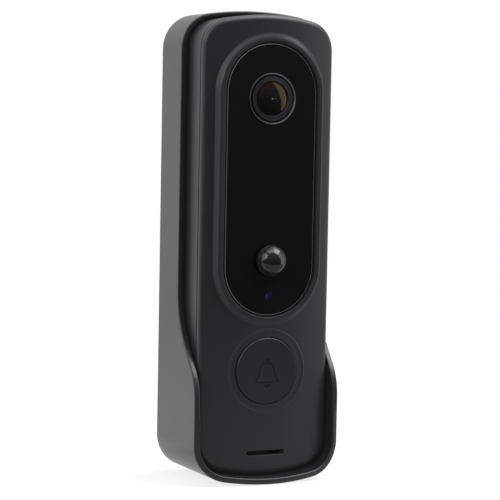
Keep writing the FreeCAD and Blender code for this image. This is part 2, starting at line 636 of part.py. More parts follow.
def allNear(edge, test):
    """Whether the test holds all along an edge."""
    first, last = edge.ParameterRange
    steps = [first + (last - first) * share for share in (0.02, 0.25, 0.5, 0.75, 0.98)]
    return all(test(edge.valueAt(step)) for step in steps)


# ---------------------------------------------------------------- plain solids

def block(label, left, right, back, front, low, high, keep=True):
    """A box between two X values, two depths and two heights."""
    item = doc.addObject("Part::Box", label)
    item.Label = label
    bind(item, Length=f"({right}) - ({left})", Width=f"({front}) - ({back})", Height=f"({high}) - ({low})",
         Placement__Base__x=left, Placement__Base__y=f"-({front})", Placement__Base__z=low)
    if keep:
        finished.append(item)
    return item


def disc(label, x, height, back, front, radius, keep=True):
    """A cylinder that points at the visitor."""
    item = doc.addObject("Part::Cylinder", label)
    item.Label = label
    item.Placement = FreeCAD.Placement(Vector(), FreeCAD.Rotation(Vector(1, 0, 0), 90))
    bind(item, Radius=radius, Height=f"({front}) - ({back})",
         Placement__Base__x=x, Placement__Base__y=f"-({back})", Placement__Base__z=height)
    if keep:
        finished.append(item)
    return item


def column(label, x, depth, low, high, radius):
    """An upright cylinder; always a helper of another solid."""
    item = doc.addObject("Part::Cylinder", label)
    item.Label = label
    bind(item, Radius=radius, Height=f"({high}) - ({low})",
         Placement__Base__x=x, Placement__Base__y=f"-({depth})", Placement__Base__z=low)
    return item


def without(label, base, tool, keep=True):
    item = doc.addObject("Part::Cut", label)
    item.Label = label
    item.Base = base
    item.Tool = tool
    if keep:
        finished.append(item)
    return item


def joined(label, items, keep=True):
    item = doc.addObject("Part::MultiFuse", label)
    item.Label = label
    item.Shapes = items
    if keep:
        finished.append(item)
    return item


def group(label, items):
    """Several like solids in one sub-part, apart from each other."""
    item = doc.addObject("Part::Compound", label)
    item.Label = label
    item.Links = items
    finished.append(item)
    return item


def turned(label, x, height, profile, arcs=()):
    """A turned piece whose axis points at the visitor; the profile gives radius and depth."""
    body = makeBody(label)
    sketch = makeSketch(body, "XY_Plane", height, x)
    drawPath(sketch, [(radius, f"-({depth})") for radius, depth in profile], arcs)
    revolve(body, sketch)
    return body


# ---------------------------------------------------------------- wall tray

def sweepPoints():
    """The S-shaped front edge of the tray's sides, as corners in Y and Z, from the top down."""
    foot_y = "rim_depth + sweep_foot_radius * (1 - cos(sweep_angle))"
    foot_z = "sweep_start - sweep_foot_radius * sin(sweep_angle)"
    crest_y = "lip_side_depth - sweep_crest_radius * (1 - cos(sweep_angle))"
    crest_z = f"({foot_z}) - ({crest_y} - ({foot_y})) / tan(sweep_angle)"
    end_z = f"({crest_z}) - sweep_crest_radius * sin(sweep_angle)"
    return [
        ("-rim_depth", "sweep_start"),
        (f"-({foot_y})", foot_z),
        (f"-({crest_y})", crest_z),
        ("-lip_side_depth", end_z),
    ]


def makeTray():
    body = makeBody("mounting_tray")
    outline = frontSketch(body, "0")
    drawArched(outline, "tray_half_width", "tray_top", "tray_bottom", TRAY_ARCH, "tray_corner")
    pad(body, outline, "lip_peak_depth + tray_wall")

    hollow = frontSketch(body, "lip_peak_depth + tray_wall")
    drawArched(hollow, "tray_half_width - tray_wall", "tray_top - tray_top_wall", "tray_bottom - tray_wall",
               f"{TRAY_ARCH} - tray_wall", "tray_corner - tray_wall")
    pocket(body, hollow, "lip_peak_depth + tray_wall - tray_plate")

    # The rim sweeps forward from the shallow upper sides to the deep lip.
    reach_depth = "(lip_peak_depth + 2 * tray_wall)"
    far = f"-{reach_depth}"
    sweep = makeSketch(body, "YZ_Plane")
    points = sweepPoints()
    above = ("-rim_depth", "tray_top + tray_wall")
    fall = f"sqrt(lip_blend_radius^2 - (lip_side_depth + lip_blend_radius - {reach_depth})^2)"
    corners = [above] + points + [(far, f"({points[3][1]}) - {fall}"), (far, "tray_top + tray_wall")]
    drawPath(sweep, corners, {
        1: ("sweep_foot_radius", 1),
        3: ("sweep_crest_radius", -1),
        4: ("lip_blend_radius", 1),
    })
    pocketBothWays(body, sweep, "4 * tray_half_width")

    # The lip is crowned: deepest in the middle.
    crown = makeSketch(body, "XY_Plane")
    reach = "(tray_half_width + tray_wall)"
    arc = "((tray_half_width^2 + lip_crown^2) / (2 * lip_crown))"
    drawPath(crown, [
        ("tray_half_width", "-lip_side_depth"),
        ("-tray_half_width", "-lip_side_depth"),
        (f"-{reach}", "-lip_side_depth"),
        (f"-{reach}", far),
        (reach, far),
        (reach, "-lip_side_depth"),
    ], {0: (arc, 1)})
    pocketBothWays(body, crown, "4 * tray_top")

    for side in ("", "-"):
        sink = makeSketch(body, "XY_Plane", f"{side}wall_hole_half_pitch")
        drawPath(sink, [
            ("0", "tray_wall"),
            ("wall_hole_radius", "tray_wall"),
            ("wall_hole_radius", "wall_sink_radius - wall_hole_radius - tray_plate"),
            ("wall_sink_radius", "-tray_plate"),
            ("wall_sink_radius", "-tray_plate - tray_wall"),
            ("0", "-tray_plate - tray_wall"),
        ])
        revolve(body, sink, cut=True)

    lock = makeSketch(body, "YZ_Plane", "0", "-lock_depth")
    drawPath(lock, [
        ("0", "-tray_bottom - tray_wall"),
        ("lock_head + thread_play", "-tray_bottom - tray_wall"),
        ("lock_head + thread_play", "-tray_bottom"),
        ("lock_shank + 2 * thread_play", "-tray_bottom + lock_head_tall"),
        ("lock_shank + 2 * thread_play", "-tray_bottom + 2 * tray_wall"),
        ("0", "-tray_bottom + 2 * tray_wall"),
    ])
    revolve(body, lock, cut=True)

    # The hook that holds the unit's top end.
    hook = frontSketch(body, "hook_back")
    drawBox(hook, "-hook_half", "hook_half", "tray_top - tray_top_wall - hook_reach",
            "tray_top - tray_top_wall / 2")
    pad(body, hook, "hook_thick")


def lockScrew():
    body = makeBody("tray_lock_screw")
    profile = makeSketch(body, "YZ_Plane", "0", "-lock_depth")
    drawPath(profile, [
        ("0", "-tray_bottom"),
        ("lock_head", "-tray_bottom"),
        ("lock_shank", "-tray_bottom + lock_head_tall"),
        ("lock_shank", "-tray_bottom + lock_length - lock_shank / 2"),
        ("lock_shank / 2", "-tray_bottom + lock_length"),
        ("0", "-tray_bottom + lock_length"),
    ])
    revolve(body, profile)


# ---------------------------------------------------------------- rear housing

def insideOutline(sketch, inset):
    """The unit's outline, drawn in by an inset."""
    drawArched(sketch, f"unit_half_width - ({inset})", f"unit_top - ({inset})", f"unit_bottom - ({inset})",
               f"{UNIT_ARCH} - ({inset})", f"unit_corner - ({inset})")


CASE_SCREWS = [(f"{side}case_screw_x", height) for side in ("", "-")
               for height in ("case_screw_top", "case_screw_bottom")]
BOARD_SCREWS = [(f"{side}board_screw_x", height) for side in ("", "-")
                for height in ("board_screw_top", "board_screw_bottom")]
CAMERA_SCREWS = [("camera_screw_x", "lens_height + camera_screw_z"),
                 ("-camera_screw_x", "lens_height - camera_screw_z")]
POWER_SCREWS = [("power_screw_x", "power_board_bottom + small_head + thread_play"),
                ("-power_screw_x", "power_board_bottom + small_head + thread_play")]


def addPosts(body, places, back, front, radius):
    sketch = frontSketch(body, back)
    for x, height in places:
        drawCircle(sketch, x, height, radius)
    return pad(body, sketch, f"({front}) - ({back})")


def cutHoles(body, places, back, front, radius):
    """Round holes between two depths."""
    sketch = frontSketch(body, front)
    for x, height in places:
        drawCircle(sketch, x, height, radius)
    return pocket(body, sketch, f"({front}) - ({back})")


def makeHousing():
    body = makeBody("rear_housing")
    outline = frontSketch(body, "tray_plate")
    insideOutline(outline, "0")
    shell = pad(body, outline, f"{HOUSING_RIM} - tray_plate")
    back = -number("tray_plate")
    roundEdges(body, shell, lambda edge: allNear(edge, lambda point: abs(point.y - back) < 0.01), "back_round")

    hollow = frontSketch(body, HOUSING_RIM)
    insideOutline(hollow, "housing_wall")
    pocket(body, hollow, f"{HOUSING_RIM} - {HOUSING_INSIDE}")

    # Solid walls round the battery bay, then the bay from behind.
    walls = frontSketch(body, HOUSING_INSIDE)
    reach = "(unit_half_width - housing_wall / 2)"
    drawBox(walls, f"-{reach}", reach, "block_bottom", "block_top")
    pad(body, walls, f"{HOUSING_RIM} - {HOUSING_INSIDE}")
    bay = frontSketch(body, f"{HOUSING_RIM} - bay_floor")
    drawBox(bay, "-bay_half_width", "bay_half_width", "bay_bottom", "bay_top")
    pocket(body, bay, f"{HOUSING_RIM} - bay_floor - tray_plate + tray_wall")
    door = frontSketch(body, "tray_plate + door_thick + door_seal")
    drawRoundBox(door, "door_half_width + part_gap", "door_top + part_gap", "door_bottom - part_gap",
                 "door_corner + part_gap")
    pocket(body, door, "door_thick + door_seal + tray_wall")
    for side in ("", "-"):
        slot = frontSketch(body, "tray_plate + door_thick + part_gap")
        drawBox(slot, f"{side}door_tab_x - door_tab_half - part_gap",
                f"{side}door_tab_x + door_tab_half + part_gap",
                "door_top - part_gap", "door_top + door_tab_reach + part_gap")
        pocket(body, slot, "door_tab_thick + 2 * part_gap")
    cutHoles(body, [("0", "door_screw_z")], HOUSING_INSIDE, "tray_plate + door_screw_length + part_gap",
             "door_screw_shank + thread_play")

    # Screw columns, posts for the boards and the block for the lock screw.
    addPosts(body, CASE_SCREWS, HOUSING_INSIDE, HOUSING_RIM, "case_column")
    cutHoles(body, CASE_SCREWS, "tray_plate - tray_wall", HOUSING_RIM, "case_shank + part_gap")
    cutHoles(body, CASE_SCREWS, "tray_plate - tray_wall", "case_head_seat", "case_head + bore_play")
    camera_seat = "camera_board_depth - board_thick"
    addPosts(body, CAMERA_SCREWS, HOUSING_INSIDE, camera_seat, "small_boss")
    cutHoles(body, CAMERA_SCREWS, f"{camera_seat} - small_grip - part_gap", camera_seat,
             "small_shank + thread_play")
    addPosts(body, POWER_SCREWS, HOUSING_INSIDE, "power_board_depth", "small_boss")
    cutHoles(body, POWER_SCREWS, "power_board_depth - small_grip - part_gap", "power_board_depth",
             "small_shank + thread_play")
    lock = makeSketch(body, "XY_Plane", "-unit_bottom + housing_wall / 2")
    drawBox(lock, "-lock_block_half", "lock_block_half", "-lock_depth - lock_block_half",
            "-lock_depth + lock_block_half")
    pad(body, lock, "lock_block_top + unit_bottom - housing_wall / 2")
    bore = makeSketch(body, "XY_Plane", "-tray_bottom + lock_length + part_gap")
    drawCircle(bore, "0", "-lock_depth", "lock_shank + thread_play")
    pocket(body, bore, "lock_length + part_gap")

    # Charging opening with a recess for the bung's flange.
    opening = frontSketch(body, HOUSING_INSIDE)
    drawSlot(opening, "0", "usb_height", "usb_half_x + usb_margin", "usb_half_z + usb_margin")
    pocket(body, opening, "housing_wall + tray_wall")
    recess = frontSketch(body, "tray_plate + bung_flange_thick")
    drawSlot(recess, "0", "usb_height", "usb_half_x + usb_margin + bung_flange",
             "usb_half_z + usb_margin + bung_flange")
    pocket(body, recess, "bung_flange_thick + tray_wall")

    # Slot for the tray's hook in the top wall.
    hook = frontSketch(body, "hook_back + hook_thick + hook_play")
    drawBox(hook, "-hook_half - hook_play", "hook_half + hook_play",
            "tray_top - tray_top_wall - hook_reach - hook_play", "unit_top + tray_wall")
    pocket(body, hook, "hook_thick + 2 * hook_play")

    # Groove for the seal and the cover's tongue.
    groove = frontSketch(body, HOUSING_RIM)
    insideOutline(groove, "(housing_wall - groove_width) / 2")
    insideOutline(groove, "(housing_wall + groove_width) / 2")
    pocket(body, groove, "groove_depth")


# ---------------------------------------------------------------- front cover

def frameSection(body, depth, side, end):
    """The outline of the frame round the window at a depth, larger than its crest by side and end."""
    sketch = frontSketch(body, depth)
    drawStadium(sketch, f"frame_half_width + ({side})", f"window_top + frame_end + ({end})",
                f"window_bottom - frame_end - ({end})")
    return sketch


def makeCover():
    body = makeBody("front_cover")
    slack = "housing_wall"
    outline = frontSketch(body, "seam_depth")
    insideOutline(outline, "0")
    pad(body, outline, f"{CROWN_TOP} + {slack} - seam_depth")

    crown = makeSketch(body, "XY_Plane")
    reach = f"(unit_half_width + {slack})"
    far = f"-({CROWN_TOP} + 2 * {slack})"
    drawPath(crown, [
        ("unit_half_width", "-cover_edge_depth"),
        ("-unit_half_width", "-cover_edge_depth"),
        (f"-{reach}", "-cover_edge_depth"),
        (f"-{reach}", far),
        (reach, far),
        (reach, "-cover_edge_depth"),
    ], {0: (CROWN_ARC, 1)})
    crowned = pocketBothWays(body, crown, "4 * unit_top")
    limit = -number("cover_edge_depth") + 0.01
    roundEdges(body, crowned, lambda edge: allNear(edge, lambda point: point.y < limit), "edge_round")

    # Flat frame round the window. Its flank is steep at the sides, where the crown falls away, and shallow
    # at the ends.
    bevel = "crest_round / 2"
    slope = f"({bevel} * frame_end_flank / (frame_level - {LEDGE_LEVEL}))"
    loft(body, [
        frameSection(body, LEDGE_LEVEL, "frame_flank", "frame_end_flank"),
        frameSection(body, f"frame_level - {bevel}", bevel, slope),
        frameSection(body, "frame_level", f"-{bevel}", f"-{bevel}"),
    ])

    recess = frontSketch(body, f"{CROWN_TOP} + {slack}")
    drawStadium(recess, "window_half_width + window_gap", "window_top + window_gap", "window_bottom - window_gap")
    pocket(body, recess, f"{CROWN_TOP} + {slack} - {LEDGE_LEVEL}")

    # Hollow inside, deeper under the crown below the window.
    hollow = frontSketch(body, "ceiling_depth")
    insideOutline(hollow, "housing_wall")
    pocket(body, hollow, f"ceiling_depth - seam_depth + {slack}")
    under = makeSketch(body, "XY_Plane", "block_bottom - housing_wall")
    side = "(bay_half_width - housing_wall)"
    inner_arc = f"({CROWN_ARC} - crown_wall)"
    edge_depth = f"({CROWN_TOP} - crown_wall - {inner_arc} + sqrt({inner_arc}^2 - {side}^2))"
    drawPath(under, [
        (side, f"-{edge_depth}"),
        (f"-{side}", f"-{edge_depth}"),
        (f"-{side}", "-seam_depth"),
        (side, "-seam_depth"),
    ], {0: (inner_arc, 1)})
    pocket(body, under, "window_bottom - window_gap - ledge_width - block_bottom + housing_wall", forward=True)

    window = frontSketch(body, LEDGE_LEVEL)
    drawStadium(window, "window_half_width - ledge_width", "window_top - ledge_width",
                "window_bottom + ledge_width")
    pocket(body, window, f"{LEDGE_LEVEL} - seam_depth + {slack}")

    # Dish, bore and flat seat of the call button.
    centre = [("0", "button_height")]
    rim = frontSketch(body, "dish_level")
    drawCircle(rim, *centre[0], "dish_radius")
    mouth = frontSketch(body, f"{CROWN_TOP} + part_gap")
    drawCircle(mouth, *centre[0], "dish_radius + dish_fade")
    loft(body, [rim, mouth], cut=True)
    cutHoles(body, centre, f"seam_depth - {slack}", f"{CROWN_TOP} + {slack}", "button_radius + button_gap")
    cutHoles(body, centre, f"seam_depth - {slack}", "button_seat_depth", "button_seat_radius")

    slot = frontSketch(body, f"{CROWN_TOP} + {slack}")
    drawSlot(slot, "0", "slot_height", "slot_half_length", "slot_half_height")
    pocket(body, slot, f"{CROWN_TOP} + 2 * {slack} - seam_depth")

    # Tongue of the seam, screw bosses and board bosses.
    tongue = frontSketch(body, "seam_depth")
    insideOutline(tongue, "(housing_wall - tongue_width) / 2")
    insideOutline(tongue, "(housing_wall + tongue_width) / 2")
    pad(body, tongue, "tongue_length", backward=True)
    addPosts(body, CASE_SCREWS, HOUSING_RIM, "ceiling_depth", "case_boss")
    cutHoles(body, CASE_SCREWS, HOUSING_RIM, "case_screw_tip + part_gap", "case_shank + thread_play")
    addPosts(body, BOARD_SCREWS, "main_board_front", "ceiling_depth", "small_boss")
    cutHoles(body, BOARD_SCREWS, "main_board_front", "main_board_front + small_grip + part_gap",
             "small_shank + thread_play")


def makeSeal():
    body = makeBody("housing_seal")
    ring = frontSketch(body, GROOVE_FLOOR)
    insideOutline(ring, "(housing_wall - groove_width) / 2 + thread_play")
    insideOutline(ring, "(housing_wall + groove_width) / 2 - thread_play")
    pad(body, ring, f"{HOUSING_RIM} + seam_gap - tongue_length - {GROOVE_FLOOR}")


# ---------------------------------------------------------------- window and camera

def makeWindow():
    body = makeBody("window_panel")
    outline = frontSketch(body, WINDOW_BACK)
    drawStadium(outline, "window_half_width", "window_top", "window_bottom")
    plate = pad(body, outline, "window_thick")
    face = -number("window_face")
    roundEdges(body, plate, lambda edge: allNear(edge, lambda point: abs(point.y - face) < 0.01), "window_edge")
    holes = frontSketch(body, "window_face")
    drawCircle(holes, "0", "lens_height", "lens_ring_radius + part_gap")
    drawCircle(holes, "0", "pir_height", "pir_radius + part_gap")
    drawCircle(holes, "0", "status_height", "pipe_radius + part_gap")
    pocket(body, holes, "window_thick")


def makeTape():
    body = makeBody("window_tape")
    frame = frontSketch(body, LEDGE_LEVEL)
    drawStadium(frame, "window_half_width - tape_inset", "window_top - tape_inset", "window_bottom + tape_inset")
    drawStadium(frame, "window_half_width - ledge_width + tape_inset", "window_top - ledge_width + tape_inset",
                "window_bottom + ledge_width - tape_inset")
    pad(body, frame, "tape_thick")


def makeCamera():
    ring_face = "window_face + lens_ring_proud"
    turned("lens_ring", "0", "lens_height", [
        ("lens_ring_bore", f"{WINDOW_BACK} - flange_thick"),
        ("lens_ring_flange", f"{WINDOW_BACK} - flange_thick"),
        ("lens_ring_flange", WINDOW_BACK),
        ("lens_ring_radius", WINDOW_BACK),
        ("lens_ring_radius", f"{ring_face} - lens_ring_proud / 2"),
        ("lens_ring_radius - lens_ring_proud / 2", ring_face),
        ("lens_ring_bore", ring_face),
    ])
    seat = "front_glass_radius + thread_play"
    turned("lens_barrel", "0", "lens_height", [
        ("barrel_bore", "barrel_back"),
        ("barrel_thread", "barrel_back"),
        ("barrel_thread", "barrel_shoulder"),
        ("barrel_radius", "barrel_shoulder"),
        ("barrel_radius", "barrel_front - button_bevel / 2"),
        ("barrel_radius - button_bevel / 2", "barrel_front"),
        ("front_glass_radius + button_bevel", "barrel_front"),
        (seat, "front_glass_edge"),
        (seat, "front_glass_seat"),
        ("inner_glass_radius + thread_play", "front_glass_seat - inner_glass_thick / 2"),
        ("inner_glass_radius + thread_play", "inner_glass_depth"),
        ("barrel_bore", "inner_glass_depth"),
    ])
    bulge = "(front_glass_apex - front_glass_edge)"
    turned("lens_front_glass", "0", "lens_height", [
        ("0", "front_glass_seat"),
        ("front_glass_radius", "front_glass_seat"),
        ("front_glass_radius", "front_glass_edge"),
        ("0", "front_glass_apex"),
    ], {2: (f"(front_glass_radius^2 + {bulge}^2) / (2 * {bulge})", 1)})
    disc("lens_inner_glass", "0", "lens_height", "inner_glass_depth", "inner_glass_depth + inner_glass_thick",
         "inner_glass_radius")
    holder = block("holder_blank", "-holder_half", "holder_half", "camera_board_depth", "holder_front",
                   "lens_height - holder_half", "lens_height + holder_half", keep=False)
    thread = disc("holder_thread", "0", "lens_height", "camera_board_depth", "holder_front",
                  "barrel_thread + thread_play", keep=False)
    without("lens_holder", holder, thread)
    block("image_sensor", "-sensor_half", "sensor_half", "camera_board_depth",
          "camera_board_depth + sensor_thick", "lens_height - sensor_half", "lens_height + sensor_half")
    camera_back = "camera_board_depth - board_thick"
    makeBoard("camera_board", "camera_board_half_x", "lens_height + camera_board_half_z",
              "lens_height - camera_board_half_z", camera_back, CAMERA_SCREWS)
    smallScrews("camera_screws", CAMERA_SCREWS, "camera_board_depth", forward=True)


def makeBoard(label, half_width, top, bottom, back, screws, others=()):
    """A circuit board with rounded corners and round holes."""
    body = makeBody(label)
    outline = frontSketch(body, back)
    drawRoundBox(outline, half_width, top, bottom, "main_board_corner / 2")
    for x, height in screws:
        drawCircle(outline, x, height, "small_shank + part_gap")
    for x, height, radius in others:
        drawCircle(outline, x, height, radius)
    pad(body, outline, "board_thick")


def smallScrews(label, places, seat, forward):
    """Pan-head screws whose heads lie on a board: on its front face, or with forward off on its rear face."""
    items = []
    length = "board_thick + small_grip"
    for index, (x, height) in enumerate(places, start=1):
        if forward:
            head = (seat, f"{seat} + small_head_tall")
            shank = (f"{seat} - ({length})", seat)
        else:
            head = (f"{seat} - small_head_tall", seat)
            shank = (seat, f"{seat} + {length}")
        parts = [disc(f"{label}_head_{index}", x, height, *head, "small_head", keep=False),
                 disc(f"{label}_shank_{index}", x, height, *shank, "small_shank", keep=False)]
        items.append(joined(f"{label}_{index}", parts, keep=False))
    group(label, items)


def makeDome():
    inner = "(pir_radius - pir_wall)"
    turned("pir_dome", "0", "pir_height", [
        (inner, f"{WINDOW_BACK} - flange_thick"),
        ("pir_flange", f"{WINDOW_BACK} - flange_thick"),
        ("pir_flange", WINDOW_BACK),
        ("pir_radius", WINDOW_BACK),
        ("pir_radius", DOME_CENTRE),
        ("pir_radius * sin(45)", f"{DOME_CENTRE} + pir_radius * cos(45)"),
        ("0", f"{DOME_CENTRE} + pir_radius"),
        ("0", f"{DOME_CENTRE} + {inner}"),
        (f"{inner} * sin(45)", f"{DOME_CENTRE} + {inner} * cos(45)"),
        (inner, DOME_CENTRE),
    ], {4: ("pir_radius", 1), 5: ("pir_radius", 1), 7: (inner, -1), 8: (inner, -1)})
    disc("pir_sensor", "0", "pir_height", "main_board_front", "main_board_front + pir_can_height",
         "pir_can_radius")


# ---------------------------------------------------------------- electronics

def makeElectronics():
    makeBoard("main_board", "main_board_half", "main_board_top", "main_board_bottom", BOARD_BACK, BOARD_SCREWS,
              [("0", "lens_height", "barrel_radius + bore_play")])
    smallScrews("main_board_screws", BOARD_SCREWS, BOARD_BACK, forward=False)
    lights = []
    for index in range(6):
        turn = 60 * index + 30
        x = f"ir_circle * cos({turn})"
        height = f"lens_height + ir_circle * sin({turn})"
        lights.append(block(f"ir_light_{index + 1}", f"{x} - ir_half", f"{x} + ir_half", "main_board_front",
                            "main_board_front + ir_thick", f"{height} - ir_half", f"{height} + ir_half",
                            keep=False))
    group("ir_lights", lights)
    disc("light_sensor", "light_sensor_x", "light_sensor_z", "main_board_front",
         "main_board_front + light_sensor_thick", "light_sensor_radius")
    block("status_light", "-status_half_x", "status_half_x", "main_board_front", PIPE_FOOT,
          "status_height - status_half_z", "status_height + status_half_z")
    turned("light_pipe", "0", "status_height", [
        ("0", PIPE_FOOT),
        ("pipe_radius", PIPE_FOOT),
        ("pipe_radius", f"{WINDOW_BACK} - pipe_flange_thick"),
        ("pipe_flange", f"{WINDOW_BACK} - pipe_flange_thick"),
        ("pipe_flange", WINDOW_BACK),
        ("pipe_radius", WINDOW_BACK),
        ("pipe_radius", "window_face"),
        ("0", "window_face"),
    ])
    block("processor", "-chip_half", "chip_half", "main_board_front", "main_board_front + chip_thick",
          "chip_height - chip_half", "chip_height + chip_half")
    block("wifi_module", "wifi_left", "wifi_left + wifi_wide", f"{BOARD_BACK} - wifi_thick", BOARD_BACK,
          "wifi_bottom", "wifi_bottom + wifi_tall")
    block("wifi_antenna", "unit_half_width - housing_wall - antenna_thick", "unit_half_width - housing_wall",
          "antenna_back", "antenna_back + antenna_wide", "antenna_bottom", "antenna_bottom + antenna_tall")
    makeBoard("power_board", "power_board_half_x", "power_board_top", "power_board_bottom", "power_board_depth",
              POWER_SCREWS)
    smallScrews("power_board_screws", POWER_SCREWS, "power_board_depth + board_thick", forward=True)


def makeUsb():
    body = makeBody("usb_socket")
    shell = frontSketch(body, "usb_back")
    drawSlot(shell, "0", "usb_height", "usb_half_x", "usb_half_z")
    pad(body, shell, "power_board_depth - usb_back")
    mouth = frontSketch(body, "power_board_depth - board_thick")
    drawSlot(mouth, "0", "usb_height", "usb_half_x - usb_wall", "usb_half_z - usb_wall")
    drawSlot(mouth, "0", "usb_height", "usb_half_x - 3 * usb_wall", "usb_wall")
    pocket(body, mouth, "power_board_depth - board_thick - usb_back")

    bung = makeBody("usb_bung")
    flange = frontSketch(bung, "tray_plate")
    drawSlot(flange, "0", "usb_height", "usb_half_x + usb_margin + bung_flange - part_gap",
             "usb_half_z + usb_margin + bung_flange - part_gap")
    pad(bung, flange, "bung_flange_thick")
    plug = frontSketch(bung, "tray_plate + bung_flange_thick")
    drawSlot(plug, "0", "usb_height", "usb_half_x + usb_margin - part_gap", "usb_half_z + usb_margin - part_gap")
    pad(bung, plug, "usb_back - tray_plate - bung_flange_thick - part_gap")


# ---------------------------------------------------------------- call button

def makeButton():
    flange_front = "button_seat_depth - part_gap"
    inside = "button_radius - button_skirt_wall"
    under = "button_face - button_skin"
    turned("call_button", "0", "button_height", [
        ("0", PLUNGER_TIP),
        ("button_stem", PLUNGER_TIP),
        ("button_stem", under),
        (inside, under),
        (inside, f"{flange_front} - button_flange_thick"),
        ("button_flange", f"{flange_front} - button_flange_thick"),
        ("button_flange", flange_front),
        ("button_radius", flange_front),
        ("button_radius", "button_face - button_bevel"),
        ("button_radius - button_bevel", "button_face"),
        ("0", "button_face"),
    ])
    housing = block("switch_blank", "-switch_half", "switch_half", "main_board_front",
                    "main_board_front + switch_tall", "button_height - switch_half",
                    "button_height + switch_half", keep=False)
    plunger_back = f"{PLUNGER_TIP} - 2 * {PLUNGER_PROUD}"
    bore = disc("switch_bore", "0", "button_height", f"{plunger_back} - button_travel - part_gap",
                "main_board_front + switch_tall", "plunger_radius + thread_play", keep=False)
    without("button_switch", housing, bore)
    disc("switch_plunger", "0", "button_height", plunger_back, PLUNGER_TIP, "plunger_radius")
    outer = disc("pad_blank", "0", "button_height", "main_board_front", f"{PAD_FACE} - thread_play", "pad_outer",
                 keep=False)
    inner = disc("pad_hole", "0", "button_height", "main_board_front", PAD_FACE, "pad_inner", keep=False)
    without("button_rest_pad", outer, inner)


# ---------------------------------------------------------------- sound

def makeSound():
    body = makeBody("sound_mesh")
    plate = frontSketch(body, MESH_FACE)
    drawSlot(plate, "0", "slot_height", "slot_half_length + mesh_margin", "slot_half_height + mesh_margin")
    pad(body, plate, "mesh_thick")
    face = f"{MESH_FACE} - gasket_thick"
    block("speaker", "speaker_x - speaker_half_x", "speaker_x + speaker_half_x", f"{face} - speaker_thick", face,
          "speaker_z - speaker_half_z", "speaker_z + speaker_half_z")
    rim = block("gasket_blank", "speaker_x - speaker_half_x", "speaker_x + speaker_half_x", face, MESH_FACE,
                "speaker_z - speaker_half_z", "speaker_z + speaker_half_z", keep=False)
    hole = block("gasket_hole", "speaker_x - speaker_half_x + gasket_wall",
                 "speaker_x + speaker_half_x - gasket_wall", face, MESH_FACE,
                 "speaker_z - speaker_half_z + gasket_wall", "speaker_z + speaker_half_z - gasket_wall",
                 keep=False)
    without("speaker_gasket", rim, hole)
    boot_back = f"{MESH_FACE} - mic_boot_thick"
    turned("microphone_boot", "mic_x", "slot_height", [
        ("mic_port", MESH_FACE),
        ("mic_port", f"{boot_back} + mic_thick"),
        ("mic_radius", f"{boot_back} + mic_thick"),
        ("mic_radius", boot_back),
        ("mic_boot_radius", boot_back),
        ("mic_boot_radius", MESH_FACE),
    ])
    disc("microphone", "mic_x", "slot_height", boot_back, f"{boot_back} + mic_thick", "mic_radius")


# ---------------------------------------------------------------- battery

def makeBattery():
    cell_top = "bay_top - contact_thick - cell_nub"
    for side, label in (("-", "battery_cell_left"), ("", "battery_cell_right")):
        can = column(f"{label}_can", f"{side}cell_half_pitch", CELL_AXIS, f"{cell_top} - cell_length", cell_top,
                     "cell_radius")
        nub = column(f"{label}_nub", f"{side}cell_half_pitch", CELL_AXIS, cell_top, f"{cell_top} + cell_nub",
                     "cell_nub_radius")
        joined(label, [can, nub])
    block("battery_plus_plate", "-cell_half_pitch - contact_half", "cell_half_pitch + contact_half",
          f"{CELL_AXIS} - contact_half", f"{CELL_AXIS} + contact_half", "bay_top - contact_thick", "bay_top")
    springs = [leafSpring(f"battery_spring_{name}", f"{side}cell_half_pitch", cell_top)
               for side, name in (("-", "left"), ("", "right"))]
    group("battery_springs", springs)
    batteryDoor()


def leafSpring(label, x, cell_top):
    """A bent leaf: flat on the end wall, then slanting up to the cell's base."""
    body = doc.addObject("PartDesign::Body", label)
    body.Label = label
    profile = makeSketch(body, "YZ_Plane", f"{x} - contact_half")
    back = f"-({CELL_AXIS}) + contact_half"
    front = f"-({CELL_AXIS}) - contact_half"
    base = f"({cell_top}) - cell_length"
    drawPath(profile, [
        (back, "bay_bottom"),
        (front, "bay_bottom"),
        (front, "bay_bottom + contact_thick"),
        (f"({back}) - 3 * contact_thick", "bay_bottom + contact_thick"),
        (f"-({CELL_AXIS}) - contact_thick", base),
        (f"-({CELL_AXIS}) + contact_thick", base),
        (back, "bay_bottom + contact_thick"),
    ])
    pad(body, profile, "2 * contact_half")
    return body


